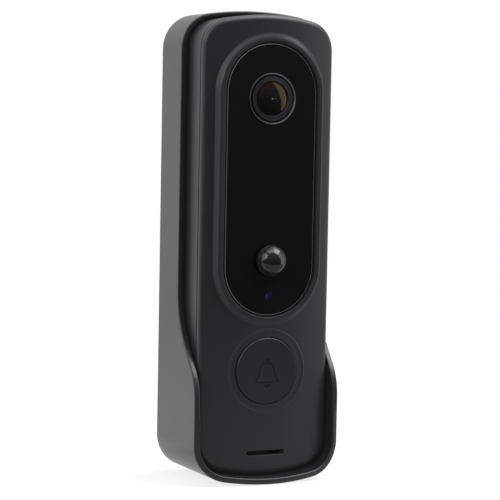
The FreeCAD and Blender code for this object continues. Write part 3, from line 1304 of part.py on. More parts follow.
def batteryDoor():
    body = makeBody("battery_door")
    outline = frontSketch(body, "tray_plate")
    drawRoundBox(outline, "door_half_width", "door_top", "door_bottom", "door_corner")
    pad(body, outline, "door_thick")
    for side in ("", "-"):
        tab = frontSketch(body, "tray_plate + door_thick - door_tab_thick")
        drawBox(tab, f"{side}door_tab_x - door_tab_half", f"{side}door_tab_x + door_tab_half",
                "door_top - door_corner", "door_top + door_tab_reach")
        pad(body, tab, "door_tab_thick")
    sink = makeSketch(body, "XY_Plane", "door_screw_z")
    drawPath(sink, [
        ("0", "tray_wall - tray_plate"),
        ("door_screw_head + part_gap", "tray_wall - tray_plate"),
        ("door_screw_head + part_gap", "-tray_plate"),
        ("door_screw_shank + part_gap", "-tray_plate - (door_screw_head - door_screw_shank)"),
        ("door_screw_shank + part_gap", "-tray_plate - 2 * door_thick"),
        ("0", "-tray_plate - 2 * door_thick"),
    ])
    revolve(body, sink, cut=True)

    seal = makeBody("battery_door_seal")
    frame = frontSketch(seal, "tray_plate + door_thick")
    drawRoundBox(frame, "door_half_width", "door_top", "door_bottom", "door_corner")
    drawRoundBox(frame, "bay_half_width + part_gap", "bay_top + part_gap", "bay_bottom - part_gap",
                 "door_corner / 2")
    drawCircle(frame, "0", "door_screw_z", "door_screw_shank + part_gap")
    pad(seal, frame, "door_seal")
    turned("battery_door_screw", "0", "door_screw_z", [
        ("0", "tray_plate"),
        ("door_screw_head", "tray_plate"),
        ("door_screw_shank", "tray_plate + door_screw_head - door_screw_shank"),
        ("door_screw_shank", "tray_plate + door_screw_length - door_screw_shank / 2"),
        ("door_screw_shank / 2", "tray_plate + door_screw_length"),
        ("0", "tray_plate + door_screw_length"),
    ])


def caseScrews():
    items = []
    for index, (x, height) in enumerate(CASE_SCREWS, start=1):
        head = disc(f"case_screw_head_{index}", x, height, "case_head_seat - case_head_tall", "case_head_seat",
                    "case_head", keep=False)
        shank = disc(f"case_screw_shank_{index}", x, height, "case_head_seat", "case_screw_tip", "case_shank",
                     keep=False)
        items.append(joined(f"case_screw_{index}", [head, shank], keep=False))
    group("case_screws", items)


def writeParts():
    """Check every object, then write each sub-part to its own file."""
    doc.recompute()
    for item in doc.Objects:
        if "Invalid" in item.State or "Error" in item.State:
            raise RuntimeError(f"{item.Label} failed: {item.State}")
    os.makedirs("parts", exist_ok=True)
    for item in finished:
        shape = item.Shape
        if shape.isNull() or not shape.isValid() or shape.Volume <= 0:
            raise RuntimeError(f"{item.Label} has no valid solid")
        print(f"{item.Label}: {len(shape.Solids)} solid, {shape.Volume:.1f} mm3")
        shape.exportStep(f"parts/{item.Label}.step")


makeTray()
lockScrew()
makeHousing()
makeCover()
makeSeal()
makeWindow()
makeTape()
makeCamera()
makeDome()
makeElectronics()
makeUsb()
makeButton()
makeSound()
makeBattery()
caseScrews()
writeParts()
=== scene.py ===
import json
import math

import bpy
import bmesh
import numpy as np
from mathutils import Matrix, Quaternion, Vector
from mathutils.geometry import delaunay_2d_cdt


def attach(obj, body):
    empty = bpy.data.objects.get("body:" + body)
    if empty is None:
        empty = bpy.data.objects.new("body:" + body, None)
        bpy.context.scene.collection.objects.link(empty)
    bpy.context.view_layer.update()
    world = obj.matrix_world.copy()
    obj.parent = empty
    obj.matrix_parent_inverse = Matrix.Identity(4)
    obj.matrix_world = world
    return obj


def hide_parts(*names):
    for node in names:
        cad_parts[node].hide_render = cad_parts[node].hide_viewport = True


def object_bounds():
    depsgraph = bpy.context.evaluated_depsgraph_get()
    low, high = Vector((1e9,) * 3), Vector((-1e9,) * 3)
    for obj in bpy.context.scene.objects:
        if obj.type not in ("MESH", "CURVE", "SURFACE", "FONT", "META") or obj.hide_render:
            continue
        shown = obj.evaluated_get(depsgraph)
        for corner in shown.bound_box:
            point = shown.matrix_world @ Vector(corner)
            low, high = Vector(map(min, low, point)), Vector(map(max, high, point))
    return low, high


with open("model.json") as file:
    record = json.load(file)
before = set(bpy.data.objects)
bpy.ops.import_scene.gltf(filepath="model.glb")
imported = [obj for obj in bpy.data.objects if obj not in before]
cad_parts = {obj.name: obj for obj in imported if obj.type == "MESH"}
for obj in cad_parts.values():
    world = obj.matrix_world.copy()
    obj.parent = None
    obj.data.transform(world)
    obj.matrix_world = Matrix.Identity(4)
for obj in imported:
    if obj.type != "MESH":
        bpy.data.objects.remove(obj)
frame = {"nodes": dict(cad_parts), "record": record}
cadBox = [list(corner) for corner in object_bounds()]
nodes = frame["nodes"]
print("frame loaded:", len(nodes), "nodes")

mm = 0.001
quarter = math.pi / 2


def place(x, depth, z):              # millimetres, depth measured from the wall, to a point of the scene
    return Vector((x * mm, -depth * mm, z * mm))


def towards(azimuth, elevation):     # a direction from degrees; azimuth 0 points straight out of the face
    turn, rise = math.radians(azimuth), math.radians(elevation)
    return Vector((math.sin(turn) * math.cos(rise), -math.cos(turn) * math.cos(rise), math.sin(rise)))


class Signal:                        # a socket that sums, products and so on can be written with
    def __init__(self, tree, socket):
        self.tree, self.socket = tree, socket

    def maths(self, operation, *values):
        return self.tree.node("ShaderNodeMath", {"operation": operation}, dict(enumerate(values)))

    def __add__(self, other):
        return self.maths("ADD", self, other)

    def __radd__(self, other):
        return self.maths("ADD", other, self)

    def __sub__(self, other):
        return self.maths("SUBTRACT", self, other)

    def __rsub__(self, other):
        return self.maths("SUBTRACT", other, self)

    def __mul__(self, other):
        return self.maths("MULTIPLY", self, other)

    def __rmul__(self, other):
        return self.maths("MULTIPLY", other, self)

    def __pow__(self, other):
        return self.maths("POWER", self, other)

    def __rpow__(self, other):
        return self.maths("POWER", other, self)

    def __abs__(self):
        return self.maths("ABSOLUTE", self)

    def step(self, low, high):       # 0 below low, 1 above high, smooth between
        return self.tree.node("ShaderNodeMapRange", {"interpolation_type": "SMOOTHSTEP"},
                              {"Value": self, "From Min": low, "From Max": high})


class Tree:                          # a node tree; every node comes from node()
    def __init__(self, owner):
        owner.use_nodes = True
        self.tree = owner.node_tree
        self.tree.nodes.clear()

    def node(self, kind, settings=None, sockets=None, output=0):
        made = self.tree.nodes.new(kind)
        for name, value in (settings or {}).items():
            setattr(made, name, value)
        for name, value in (sockets or {}).items():
            self.plug(made.inputs[name], value)
        return Signal(self, made.outputs[output]) if made.outputs else None

    def plug(self, socket, value):   # a link or a fixed value
        if isinstance(value, Signal):
            self.tree.links.new(value.socket, socket)
        else:
            socket.default_value = value

    def axis(self, vector, letter):  # one coordinate of a vector
        return self.node("ShaderNodeSeparateXYZ", None, {0: vector}, output=letter)

    def seenWhite(self, behind, glow):   # white to the camera, and in reflections of what is behind the part
        camera = self.node("ShaderNodeLightPath", output="Is Camera Ray")
        glossy = self.node("ShaderNodeLightPath", output="Is Glossy Ray")
        through = self.node("ShaderNodeLightPath", output="Is Transmission Ray")
        return camera * glow + (glossy + through) * behind * (1 - camera)


class Finish(Tree):                  # a material round one Principled shader
    def __init__(self, name, colour, roughness, constants=None):
        self.material = bpy.data.materials.new(name)
        super().__init__(self.material)
        self.material.diffuse_color = (*colour, 1)
        self.spot = self.node("ShaderNodeTexCoord", output="Object")
        self.shader = self.node("ShaderNodeBsdfPrincipled")
        self.node("ShaderNodeOutputMaterial", None, {"Surface": self.shader})
        self.feed("Base Color", (*colour, 1))
        self.feed("Roughness", roughness)
        for socket, value in (constants or {}).items():
            self.feed(socket, value)

    def feed(self, socket, value):   # gives one of the shader's own sockets a link or a fixed value
        self.plug(self.shader.socket.node.inputs[socket], value)

    def measure(self, letter, scale=1):  # a coordinate of the surface in millimetres
        return self.axis(self.spot, letter) * (scale / mm)

    def noise(self, scale, detail, rough, stretch=None):
        where = self.spot
        if stretch:
            where = self.node("ShaderNodeVectorMath", {"operation": "MULTIPLY"}, {0: where, 1: stretch})
        return self.node("ShaderNodeTexNoise", None,
                         {"Vector": where, "Scale": scale, "Detail": detail, "Roughness": rough})

    def blend(self, amount, first, second):      # two colours, through a Mix node's colour sockets
        first, second = ((*colour, 1) if isinstance(colour, tuple) else colour for colour in (first, second))
        return self.node("ShaderNodeMix", {"data_type": "RGBA"}, {0: amount, 6: first, 7: second}, output=2)

    def relief(self, height, depth):             # bumps of a depth in millimetres
        self.feed("Normal", self.node("ShaderNodeBump", None, {"Height": height, "Distance": depth * mm}))


camera = {
    "azimuth": -25.643, "elevation": 3.865, "roll": 1.068,       # degrees
    "distance": 576.35, "target": (0.786, 13.0, -1.84),          # millimetres
    "lens": 134.7, "sensor": 36.0,                               # millimetres
    "clip": (0.01, 20),                                          # metres
}


def makeCamera(setting):
    back = towards(setting["azimuth"], setting["elevation"])
    right = (-back).cross(Vector((0, 0, 1))).normalized()
    up = right.cross(-back)
    roll = math.radians(setting["roll"])
    axisX = right * math.cos(roll) + up * math.sin(roll)
    axisY = up * math.cos(roll) - right * math.sin(roll)
    data = bpy.data.cameras.new("camera")
    data.lens, data.sensor_width = setting["lens"], setting["sensor"]
    data.clip_start, data.clip_end = setting["clip"]
    eye = bpy.data.objects.new("camera", data)
    bpy.context.scene.collection.objects.link(eye)
    eye.rotation_mode = "QUATERNION"
    eye.rotation_quaternion = Matrix((axisX, axisY, back)).transposed().to_quaternion()
    eye.location = place(*setting["target"]) + back * setting["distance"] * mm
    bpy.context.scene.camera = eye


makeCamera(camera)
bpy.context.scene.view_settings.view_transform = "Standard"
print("camera placed")


room = {
    "behind": 1.0, "dimUntil": -0.35, "brightFrom": 0.95,        # the bright side, and where it sets in
    "front": 0.075, "overhead": 0.34,                            # the rest: dim low down, paler high up
    "risesFrom": -0.12, "risesTo": 0.75,
}
softBoxes = {                        # direction and angular size in degrees, and radiance
    "leftBox": {"azimuth": -90, "elevation": 28, "width": 36, "height": 50, "radiance": 1.35},
    "leftStrip": {"azimuth": -66, "elevation": 31, "width": 17, "height": 28, "radiance": 3.2},
    "rightBox": {"azimuth": 63, "elevation": 20, "width": 38, "height": 76, "radiance": 1.6,
                 "roll": 12},        # leans towards the middle at its top
    "highBox": {"azimuth": 66, "elevation": 58, "width": 46, "height": 28, "radiance": 5.4},
    "rearBox": {"azimuth": -150, "elevation": 4, "width": 62, "height": 60, "radiance": 0.22},
    "topBox": {"azimuth": 0, "elevation": 84, "width": 50, "height": 40, "radiance": 2.6},
    "floorPanel": {"azimuth": -150, "elevation": -24.5, "width": 76, "height": 72, "radiance": 0.36,
                   "distance": 0.17, "facing": (0, 0, -1)},      # lies behind the part and shines up
}
ground = {                           # a disc of paper under the part, in metres
    "radius": 0.36, "backwards": 0.20, "gap": 0.0002, "corners": 96,
    "shown": 0.95, "bounced": 0.30,                              # its tone to the camera and to other light
    "glow": 0.8,                                                 # share of plain white that the camera sees
    "behind": (-0.06, -0.01),                                    # y from which reflections see plain white
}


def makeRoom(setting):
    world = bpy.data.worlds.new("studio")
    bpy.context.scene.world = world
    tree = Tree(world)
    direction = tree.node("ShaderNodeTexCoord", output="Generated")
    behind = tree.axis(direction, "Y").step(setting["dimUntil"], setting["brightFrom"])
    rise = tree.axis(direction, "Z").step(setting["risesFrom"], setting["risesTo"])
    front = rise * (setting["overhead"] - setting["front"]) + setting["front"]
    fill = behind * (setting["behind"] - front) + front
    seen = tree.seenWhite(behind, 1.0)
    strength = fill * (1 - seen) + seen
    light = tree.node("ShaderNodeBackground", None, {"Color": (1, 1, 1, 1), "Strength": strength})
    tree.node("ShaderNodeOutputWorld", None, {"Surface": light})


def makeSoftBox(name, setting):
    away = towards(setting["azimuth"], setting["elevation"])
    distance = setting.get("distance", 1.0)      # metres
    wide, tall = (2 * distance * math.tan(math.radians(setting[side] / 2)) for side in ("width", "height"))
    data = bpy.data.lights.new(name, "AREA")
    data.shape, data.size, data.size_y = "RECTANGLE", wide, tall
    data.energy = setting["radiance"] * math.pi * wide * tall
    lamp = bpy.data.objects.new(name, data)
    lamp.location = away * distance
    lamp.rotation_mode = "QUATERNION"
    roll = Quaternion((0, 0, 1), math.radians(setting.get("roll", 0)))
    lamp.rotation_quaternion = Vector(setting.get("facing", away)).to_track_quat("Z", "Y") @ roll
    lamp.visible_camera = False
    bpy.context.scene.collection.objects.link(lamp)


def makeFloor(setting, foot):
    radius, middle, count = setting["radius"], setting["backwards"], setting["corners"]
    angles = [math.tau * k / count for k in range(count)]
    points = [(radius * math.cos(angle), middle + radius * math.sin(angle), foot - setting["gap"])
              for angle in angles]
    data = bpy.data.meshes.new("floor")
    data.from_pydata(points, [], [list(range(len(points)))])
    floor = bpy.data.objects.new("floor", data)
    bpy.context.scene.collection.objects.link(floor)
    paper = bpy.data.materials.new("floorPaper")
    tree = Tree(paper)
    direct = tree.node("ShaderNodeLightPath", output="Is Camera Ray")
    tone = direct * (setting["shown"] - setting["bounced"]) + setting["bounced"]
    grey = tree.node("ShaderNodeCombineColor", None, {0: tone, 1: tone, 2: tone})
    matt = tree.node("ShaderNodeBsdfDiffuse", None, {"Color": grey})
    white = tree.node("ShaderNodeEmission", None, {"Color": (1, 1, 1, 1), "Strength": 1.0})
    behind = tree.axis(tree.node("ShaderNodeTexCoord", output="Object"), "Y").step(*setting["behind"])
    seen = tree.seenWhite(behind, setting["glow"])
    mix = tree.node("ShaderNodeMixShader", None, {0: seen, 1: matt, 2: white})
    tree.node("ShaderNodeOutputMaterial", None, {"Surface": mix})
    data.materials.append(paper)


makeRoom(room)
for name, setting in softBoxes.items():
    makeSoftBox(name, setting)
makeFloor(ground, cadBox[0][2])
print("lights and floor placed")


# Each noise is (scale per metre, detail, roughness) and, where it is stretched, a factor for each axis.
plastic = {
    "cloud": (60, 3, 0.5), "cloudSpan": (0.35, 0.65), "cloudTone": 0.5, "lighter": 1.25,
    "speck": (2600, 2, 0.6), "pebble": (900, 2, 0.5), "pebbleShare": 0.5, "grain": 0.012,
    "rough": {"speck": 0.10, "cloud": 0.06, "less": 0.08},
    "bounceGlow": 0.0058,                  # a painted glow: emission that stands for the light that bounces about in narrow gaps
}
gloss = {"smear": (45, 4, 0.6, (1, 1, 0.4)), "smearSpan": (0.35, 0.75), "rough": 0.05, "lighter": 1.2}
metal = {"lines": (1500, 3, 0.6), "rough": 0.16, "less": 0.08, "darker": 0.85, "depth": 0.004}
rubber = {"grain": (1800, 3, 0.6), "rough": 0.15, "less": 0.08, "lighter": 1.35, "depth": 0.01}
acrylic = {
    "face": 28.1,                                                # as in window, further down
    "edge": (0.012, 0.04, 0.15, 0.19),                           # a painted highlight along the bevel, measured from the face
    "highlightTone": (0.38, 0.38, 0.39), "edgeRough": 0.15, "smearRough": 0.04,
    "light": -14.7,                                              # height of the status light, as in pipe
    "clear": (1.5, 2.0),                                         # no painted highlight this near the status light
    # a painted blue glow of the status light: the distances from it over which the glow fades out, and its
    # tone
    "statusGlow": (0.7, 1.7), "statusGlowTone": (0.0065, 0.0085, 0.034),
}
dome = {                             # depths between which one tone passes into the next; the dark foot is painted shade and the paler body a painted reflection
    "foot": (29.2, 29.6), "footShade": (0.004, 0.004, 0.004),
    "body": (29.8, 31.8), "bodyReflection": (0.030, 0.030, 0.032),
}
coating = {
    "height": 44.5,                  # as in lens, further down
    "index": 1.5, "tint": (0.75, 0.40, 0.16, 1.0),
    # faint rings painted as reflections of the inner lens elements, each a radius and a half width
    "rings": ((1.9, 0.09), (1.15, 0.05), (3.2, 0.05), (4.3, 0.05)), "ringReflectionTone": (0.016, 0.016, 0.018),
    "ringCore": 0.3,                 # share of a ring's half width that is solid
    # painted glints: x, height above the lens axis, size and tone
    "glints": ((-0.30, 0.0, 0.34, (0.42, 0.22, 0.20)), (0.62, 0.12, 0.26, (0.16, 0.22, 0.20))),
    "glintCore": 0.35,
}


def scaled(colour, factor):
    return tuple(channel * factor for channel in colour)


def mouldedPlastic(name, colour, roughness):
    p, rough = plastic, plastic["rough"]
    finish = Finish(name, colour, roughness, {
        # every moulded plastic glows faintly: painted light in place of the light bounced into its gaps
        "Emission Color": (p["bounceGlow"], p["bounceGlow"], p["bounceGlow"], 1), "Emission Strength": 1.0,
    })
    cloud, speck = finish.noise(*p["cloud"]), finish.noise(*p["speck"])
    finish.feed("Base Color", finish.blend(cloud.step(*p["cloudSpan"]) * p["cloudTone"], colour,
                                           scaled(colour, p["lighter"])))
    finish.feed("Roughness", speck * rough["speck"] + cloud * rough["cloud"] + (roughness - rough["less"]))
    finish.relief(speck + finish.noise(*p["pebble"]) * p["pebbleShare"], p["grain"])
    return finish


def glossPlastic(name, colour, roughness):
    finish = Finish(name, colour, roughness)
    smear = finish.noise(*gloss["smear"])
    finish.feed("Roughness", smear.step(*gloss["smearSpan"]) * gloss["rough"] + roughness)
    finish.feed("Base Color", finish.blend(smear, colour, scaled(colour, gloss["lighter"])))
    return finish


def wornMetal(name, colour, roughness):
    finish = Finish(name, colour, roughness, {"Metallic": 1.0})
    lines = finish.noise(*metal["lines"])
    finish.feed("Roughness", lines * metal["rough"] + (roughness - metal["less"]))
    finish.feed("Base Color", finish.blend(lines, scaled(colour, metal["darker"]), colour))
    finish.relief(lines, metal["depth"])
    return finish


def softRubber(name, colour, roughness=0.75):
    finish = Finish(name, colour, roughness)
    grain = finish.noise(*rubber["grain"])
    finish.feed("Roughness", grain * rubber["rough"] + (roughness - rubber["less"]))
    finish.feed("Base Color", finish.blend(grain, colour, scaled(colour, rubber["lighter"])))
    finish.relief(grain, rubber["depth"])
    return finish


def tintedAcrylic(name, colour, roughness):      # black panel with a painted highlight along its edges and a painted blue glow round the status light
    a = acrylic
    finish = Finish(name, colour, roughness)
    below = finish.measure("Y") + a["face"]
    away = (finish.measure("X") ** 2 + (finish.measure("Z") - a["light"]) ** 2) ** 0.5
    start, full, fading, end = a["edge"]
    # a pale band along the bevel, kept clear of the status light: a painted highlight
    edge = below.step(start, full) * (1 - below.step(fading, end)) * away.step(*a["clear"])
    # bluish round the status light: its painted glow
    tone = finish.blend(1 - away.step(*a["statusGlow"]), colour, a["statusGlowTone"])
    finish.feed("Base Color", finish.blend(edge, tone, a["highlightTone"]))
    smear = finish.noise(*gloss["smear"]).step(*gloss["smearSpan"])
    finish.feed("Roughness", smear * a["smearRough"] + edge * a["edgeRough"] + roughness)
    return finish


def domedLens(name, colour, roughness):          # glossy dome: a painted reflection makes it paler above a foot darkened with painted shade
    finish = glossPlastic(name, colour, roughness)
    depth = finish.measure("Y", -1)
    # paler low on the bowl, towards its sides: a painted reflection
    tone = finish.blend(depth.step(*dome["body"]), dome["bodyReflection"], colour)
    # darker at its foot, by the window: painted shade
    finish.feed("Base Color", finish.blend(depth.step(*dome["foot"]), dome["footShade"], tone))
    return finish


def coatedGlass(name, colour, roughness):        # dark lens with an amber coating; its faint rings and two small glints are painted reflections
    g = coating
    finish = Finish(name, colour, roughness, {"IOR": g["index"], "Specular Tint": g["tint"]})
    across, upward = finish.measure("X"), finish.measure("Z") - g["height"]
    radius = (across ** 2 + upward ** 2) ** 0.5
    # faint rings painted in as reflections of the inner elements
    lines = sum(1 - abs(radius - at).step(g["ringCore"] * half, half) for at, half in g["rings"])
    tone = finish.blend(lines, colour, g["ringReflectionTone"])
    # two small glints, painted highlights
    for x, z, size, glint in g["glints"]:
        off = ((across - x) ** 2 + (upward - z) ** 2) ** 0.5
        tone = finish.blend(1 - off.step(g["glintCore"] * size, size), tone, glint)
    finish.feed("Base Color", tone)
    return finish


barrelMetal = wornMetal("barrelMetal", (0.042, 0.042, 0.046), 0.50)

finishes = {                         # one for each slot of the record
    "tray_plastic": mouldedPlastic("trayPlastic", (0.0085, 0.0080, 0.0105), 0.34),
    "case_plastic": mouldedPlastic("casePlastic", (0.0086, 0.0081, 0.0114), 0.42),
    "button_plastic": mouldedPlastic("buttonPlastic", (0.0030, 0.0028, 0.0052), 0.40),
    "window_acrylic": tintedAcrylic("windowAcrylic", (0.0048, 0.0042, 0.0052), 0.03),
    "dome_plastic": domedLens("domePlastic", (0.012, 0.012, 0.013), 0.05),
    "lens_metal": wornMetal("lensMetal", (0.12, 0.12, 0.127), 0.50),
    "lens_glass": coatedGlass("lensGlass", (0.0050, 0.0070, 0.0095), 0.02),
    "board_green": mouldedPlastic("boardGreen", (0.02, 0.1, 0.05), 0.35),
    "chip_black": mouldedPlastic("chipBlack", (0.02, 0.02, 0.02), 0.5),
    "shield_can": wornMetal("shieldCan", (0.6, 0.6, 0.6), 0.35),
    "screw_steel": wornMetal("screwSteel", (0.55, 0.55, 0.56), 0.32),
    "rubber_black": softRubber("rubberBlack", (0.02, 0.02, 0.02)),
    "tape_black": softRubber("tapeBlack", (0.03, 0.03, 0.03), 0.85),
    "led_blue": glossPlastic("ledBlue", (0.03, 0.05, 0.45), 0.25),
    "led_clear": glossPlastic("ledClear", (0.009, 0.011, 0.042), 0.2),
    "cell_wrap": glossPlastic("cellWrap", (0.05, 0.2, 0.45), 0.2),
    "contact_nickel": wornMetal("contactNickel", (0.7, 0.68, 0.62), 0.3),
    "mesh_black": softRubber("meshBlack", (0.03, 0.03, 0.03), 0.8),
    "antenna_foil": wornMetal("antennaFoil", (0.6, 0.35, 0.12), 0.35),
}
for entry in frame["record"]["subparts"]:
    item = nodes[entry["node"]]
    item.data.materials.clear()
    item.data.materials.append(finishes[entry["material_slot"]].material)
print("finishes made:", len(finishes))


# An outline is a list of (x, z, outward x, outward z) in millimetres, counterclockwise from the front.
# Its parts are ("run", x, z, x, z, count) or ("arc", x, z, radius, start, finish, count).
def outline(*parts):
    line = []
    for kind, *values in parts:
        count = values[-1]
        for k in range(count):
            share = k / count
            if kind == "run":
                x, z, farX, farZ = values[:4]
                length = math.hypot(farX - x, farZ - z)
                line.append((x + (farX - x) * share, z + (farZ - z) * share,
                             (farZ - z) / length, (x - farX) / length))
            else:
                x, z, radius, start, finish = values[:5]
                angle = start + (finish - start) * share
                line.append((x + radius * math.cos(angle), z + radius * math.sin(angle),
                             math.cos(angle), math.sin(angle)))
    return line


def archRadius(half, rise):
    return (half ** 2 + rise ** 2) / (2 * rise)


def archedOutline(half, top, bottom, rise, corner, counts):
    side, bend, end = counts         # straight sides, rounded corners, gently arched ends
    arch = archRadius(half, rise)
    reach = math.sqrt((arch - corner) ** 2 - (half - corner) ** 2)
    turn = math.atan2(half - corner, reach)
    high, low = top - arch, bottom + arch
    return outline(
        ("run", half, low - reach, half, high + reach, side),
        ("arc", half - corner, high + reach, corner, 0, quarter - turn, bend),
        ("arc", 0, high, arch, quarter - turn, quarter + turn, end),
        ("arc", corner - half, high + reach, corner, quarter + turn, math.pi, bend),
        ("run", -half, high + reach, -half, low - reach, side),
        ("arc", corner - half, low - reach, corner, math.pi, 3 * quarter - turn, bend),
        ("arc", 0, low, arch, 3 * quarter - turn, 3 * quarter + turn, end),
        ("arc", half - corner, low - reach, corner, 3 * quarter + turn, math.tau, bend))


def stadium(half, top, bottom, counts):
    side, end = counts
    return outline(
        ("run", half, bottom + half, half, top - half, side),
        ("arc", 0, top - half, half, 0, math.pi, end),
        ("run", -half, top - half, -half, bottom + half, side),
        ("arc", 0, bottom + half, half, math.pi, math.tau, end))


def circle(height, radius, count=96):
    return outline(("arc", 0, height, radius, 0, math.tau, count))


def slotOutline(height, halfLength, halfHeight, counts):
    run, end = counts
    x = halfLength - halfHeight
    return outline(
        ("arc", x, height, halfHeight, -quarter, quarter, end),
        ("run", x, height + halfHeight, -x, height + halfHeight, run),
        ("arc", -x, height, halfHeight, quarter, 3 * quarter, end),
        ("run", -x, height - halfHeight, x, height - halfHeight, run))


def loopThrough(points, mitre=0.3):  # a closed line, mitred outwards at its corners up to a limit
    line = []
    for k, (x, z) in enumerate(points):
        beforeX, beforeZ = points[k - 1]
        afterX, afterZ = points[(k + 1) % len(points)]
        first = Vector((z - beforeZ, beforeX - x)).normalized()
        second = Vector((afterZ - z, x - afterX)).normalized()
        out = (first + second) / max(1 + first.dot(second), mitre)
        line.append((x, z, out.x, out.y))
    return line


def curveThrough(points, count):     # a smooth open curve, count points for each span
    padded = [points[0], *points, points[-1]]
    made = []
    for a, b, c, d in zip(padded, padded[1:], padded[2:], padded[3:]):
        for k in range(count):
            t = k / count
            made.append(tuple(b[i] + 0.5 * t * (c[i] - a[i] + t * (2 * a[i] - 5 * b[i] + 4 * c[i] - d[i]
                                                                  + t * (3 * (b[i] - c[i]) + d[i] - a[i])))
                              for i in (0, 1)))
    return [*made, tuple(points[-1])]


def within(points, loop):            # which of many points lie inside a closed line
    x, z = points[:, 0, None], points[:, 1, None]
    x0, z0 = loop[:, 0], loop[:, 1]
    x1, z1 = np.roll(x0, -1), np.roll(z0, -1)
    rise = np.where(z1 == z0, 1e-12, z1 - z0)    # level spans aren't crossed; this only avoids a zero
    crossed = ((z0 > z) != (z1 > z)) & (x < (x1 - x0) * (z - z0) / rise + x0)
    return crossed.sum(1) % 2 == 1


class Skin:                          # a mesh made from rings of points; spot sets each point in space
    def __init__(self, spot=place):
        self.mesh, self.spot, self.flat = bmesh.new(), spot, {}

    def point(self, x, depth, z):
        made = self.mesh.verts.new(self.spot(x, depth, z))
        self.flat[made] = (x, z)
        return made

    def ring(self, line, grow, depth):
        made = []
        for x, z, outX, outZ in line:
            x, z = x + grow * outX, z + grow * outZ
            made.append(self.point(x, depth(x, z) if callable(depth) else depth, z))
        return made

    def join(self, first, second):
        for k in range(len(first)):
            after = (k + 1) % len(first)
            self.mesh.faces.new((first[k], first[after], second[after], second[k]))

    def sleeve(self, line, steps):   # rings one after the other; returns the first and the last
        made = [self.ring(line, grow, depth) for grow, depth in steps]
        for first, second in zip(made, made[1:]):
            self.join(first, second)
        return made[0], made[-1]

    def fill(self, rim, holes=(), depth=None, spacing=None):     # a face between a rim and its holes
        flat, corners, edges, loops = [], [], [], []
        for loop in (rim, *holes):
            start, count = len(flat), len(loop)
            corners += loop
            flat += [self.flat[corner] for corner in loop]
            edges += [(start + k, start + (k + 1) % count) for k in range(count)]
            loops.append(np.array(flat[start:]))

        def uncovered(points):       # inside the rim and in none of the holes
            inside = within(points, loops[0])
            for hole in loops[1:]:
                inside &= ~within(points, hole)
            return inside

        if spacing:                  # points of a grid, kept a little clear of the loops
            bounds, clear = np.array(flat), 0.55 * spacing
            columns, rows = (np.arange(low, high, spacing) + spacing / 2
                             for low, high in zip(bounds.min(0), bounds.max(0)))
            grid = np.stack(np.meshgrid(columns, rows), -1).reshape(-1, 2)
            grid = grid[uncovered(grid)]
            near = np.array([np.hypot(*(bounds - point).T).min() for point in grid])
            flat += [tuple(point) for point in grid[near > clear]]
        weld = 1e-7                  # points nearer than this are one
        found, _, faces, origin, _, _ = delaunay_2d_cdt([Vector(point) for point in flat], edges, [], 0, weld)
        verts = []
        for point, sources in zip(found, origin):
            known = [k for k in sources if k < len(corners)]
            verts.append(corners[known[0]] if known else
                         self.point(point.x, depth(point.x, point.y), point.y))
        middles = np.array([np.mean([found[k] for k in face], 0) for face in faces])
        for face, keep in zip(faces, uncovered(middles)):
            if keep:
                self.mesh.faces.new([verts[k] for k in face])

    def turned(self, height, profile, count):    # a profile of (radius, depth) round an axis to the front
        rings = [self.ring(circle(height, radius, count), 0, depth) if radius else
                 [self.point(0, depth, height)] * count for radius, depth in profile]
        for first, second in zip(rings, rings[1:]):
            for k in range(count):
                after = (k + 1) % count
                corners = dict.fromkeys((first[k], first[after], second[after], second[k]))
                if len(corners) > 2:
                    self.mesh.faces.new(list(corners))
        return rings

    def box(self, left, right, back, front, low, high):
        corners = ((left, low), (right, low), (right, high), (left, high))
        rear, fore = ([self.point(x, depth, z) for x, z in corners] for depth in (back, front))
        self.join(rear, fore)
        self.mesh.faces.new(rear)
        self.mesh.faces.new(fore)

    def data(self, name):            # the finished mesh, its faces turned outwards
        bmesh.ops.recalc_face_normals(self.mesh, faces=self.mesh.faces)
        made = bpy.data.meshes.new(name)
        self.mesh.to_mesh(made)
        self.mesh.free()
        return made

    def piece(self, name, slot, nodesStoodFor, body="doorbell", sharp=34, finish=None):
        data = self.data(name)
        data.shade_smooth()
        data.set_sharp_from_angle(angle=math.radians(sharp))
        data.materials.append((finish or finishes[slot]).material)
        item = bpy.data.objects.new(name, data)
        bpy.context.scene.collection.objects.link(item)
        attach(item, body)
        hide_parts(*nodesStoodFor)
        return item


def smooth(share):                   # 0 to 1 and level at both ends
    share = min(1.0, max(0.0, share))
    return share * share * (3 - 2 * share)


def rounded(radius, steps=4):        # (inset, drop) along a quarter round, from the face to the wall
    return [(radius * (1 - math.sin(quarter * k / steps)), radius * (1 - math.cos(quarter * k / steps)))
            for k in range(steps + 1)]


# Small edges as (inset, drop), in shares of the edge's size, from the wall to the face.
plainEdge = ((0, 1), (0.3, 0.3), (1, 0))
polishedEdge = ((0, 1), (0.12, 0.8), (0.8, 0.12), (1, 0))
pressedEdge = ((0, 1), (0.1, 0.84), (0.84, 0.1), (1, 0))


def edged(wall, face, size, shares=plainEdge, side=-1):      # side=1 where the face lies outside the wall
    return [(wall + side * inset * size, face - drop * size) for inset, drop in shares]


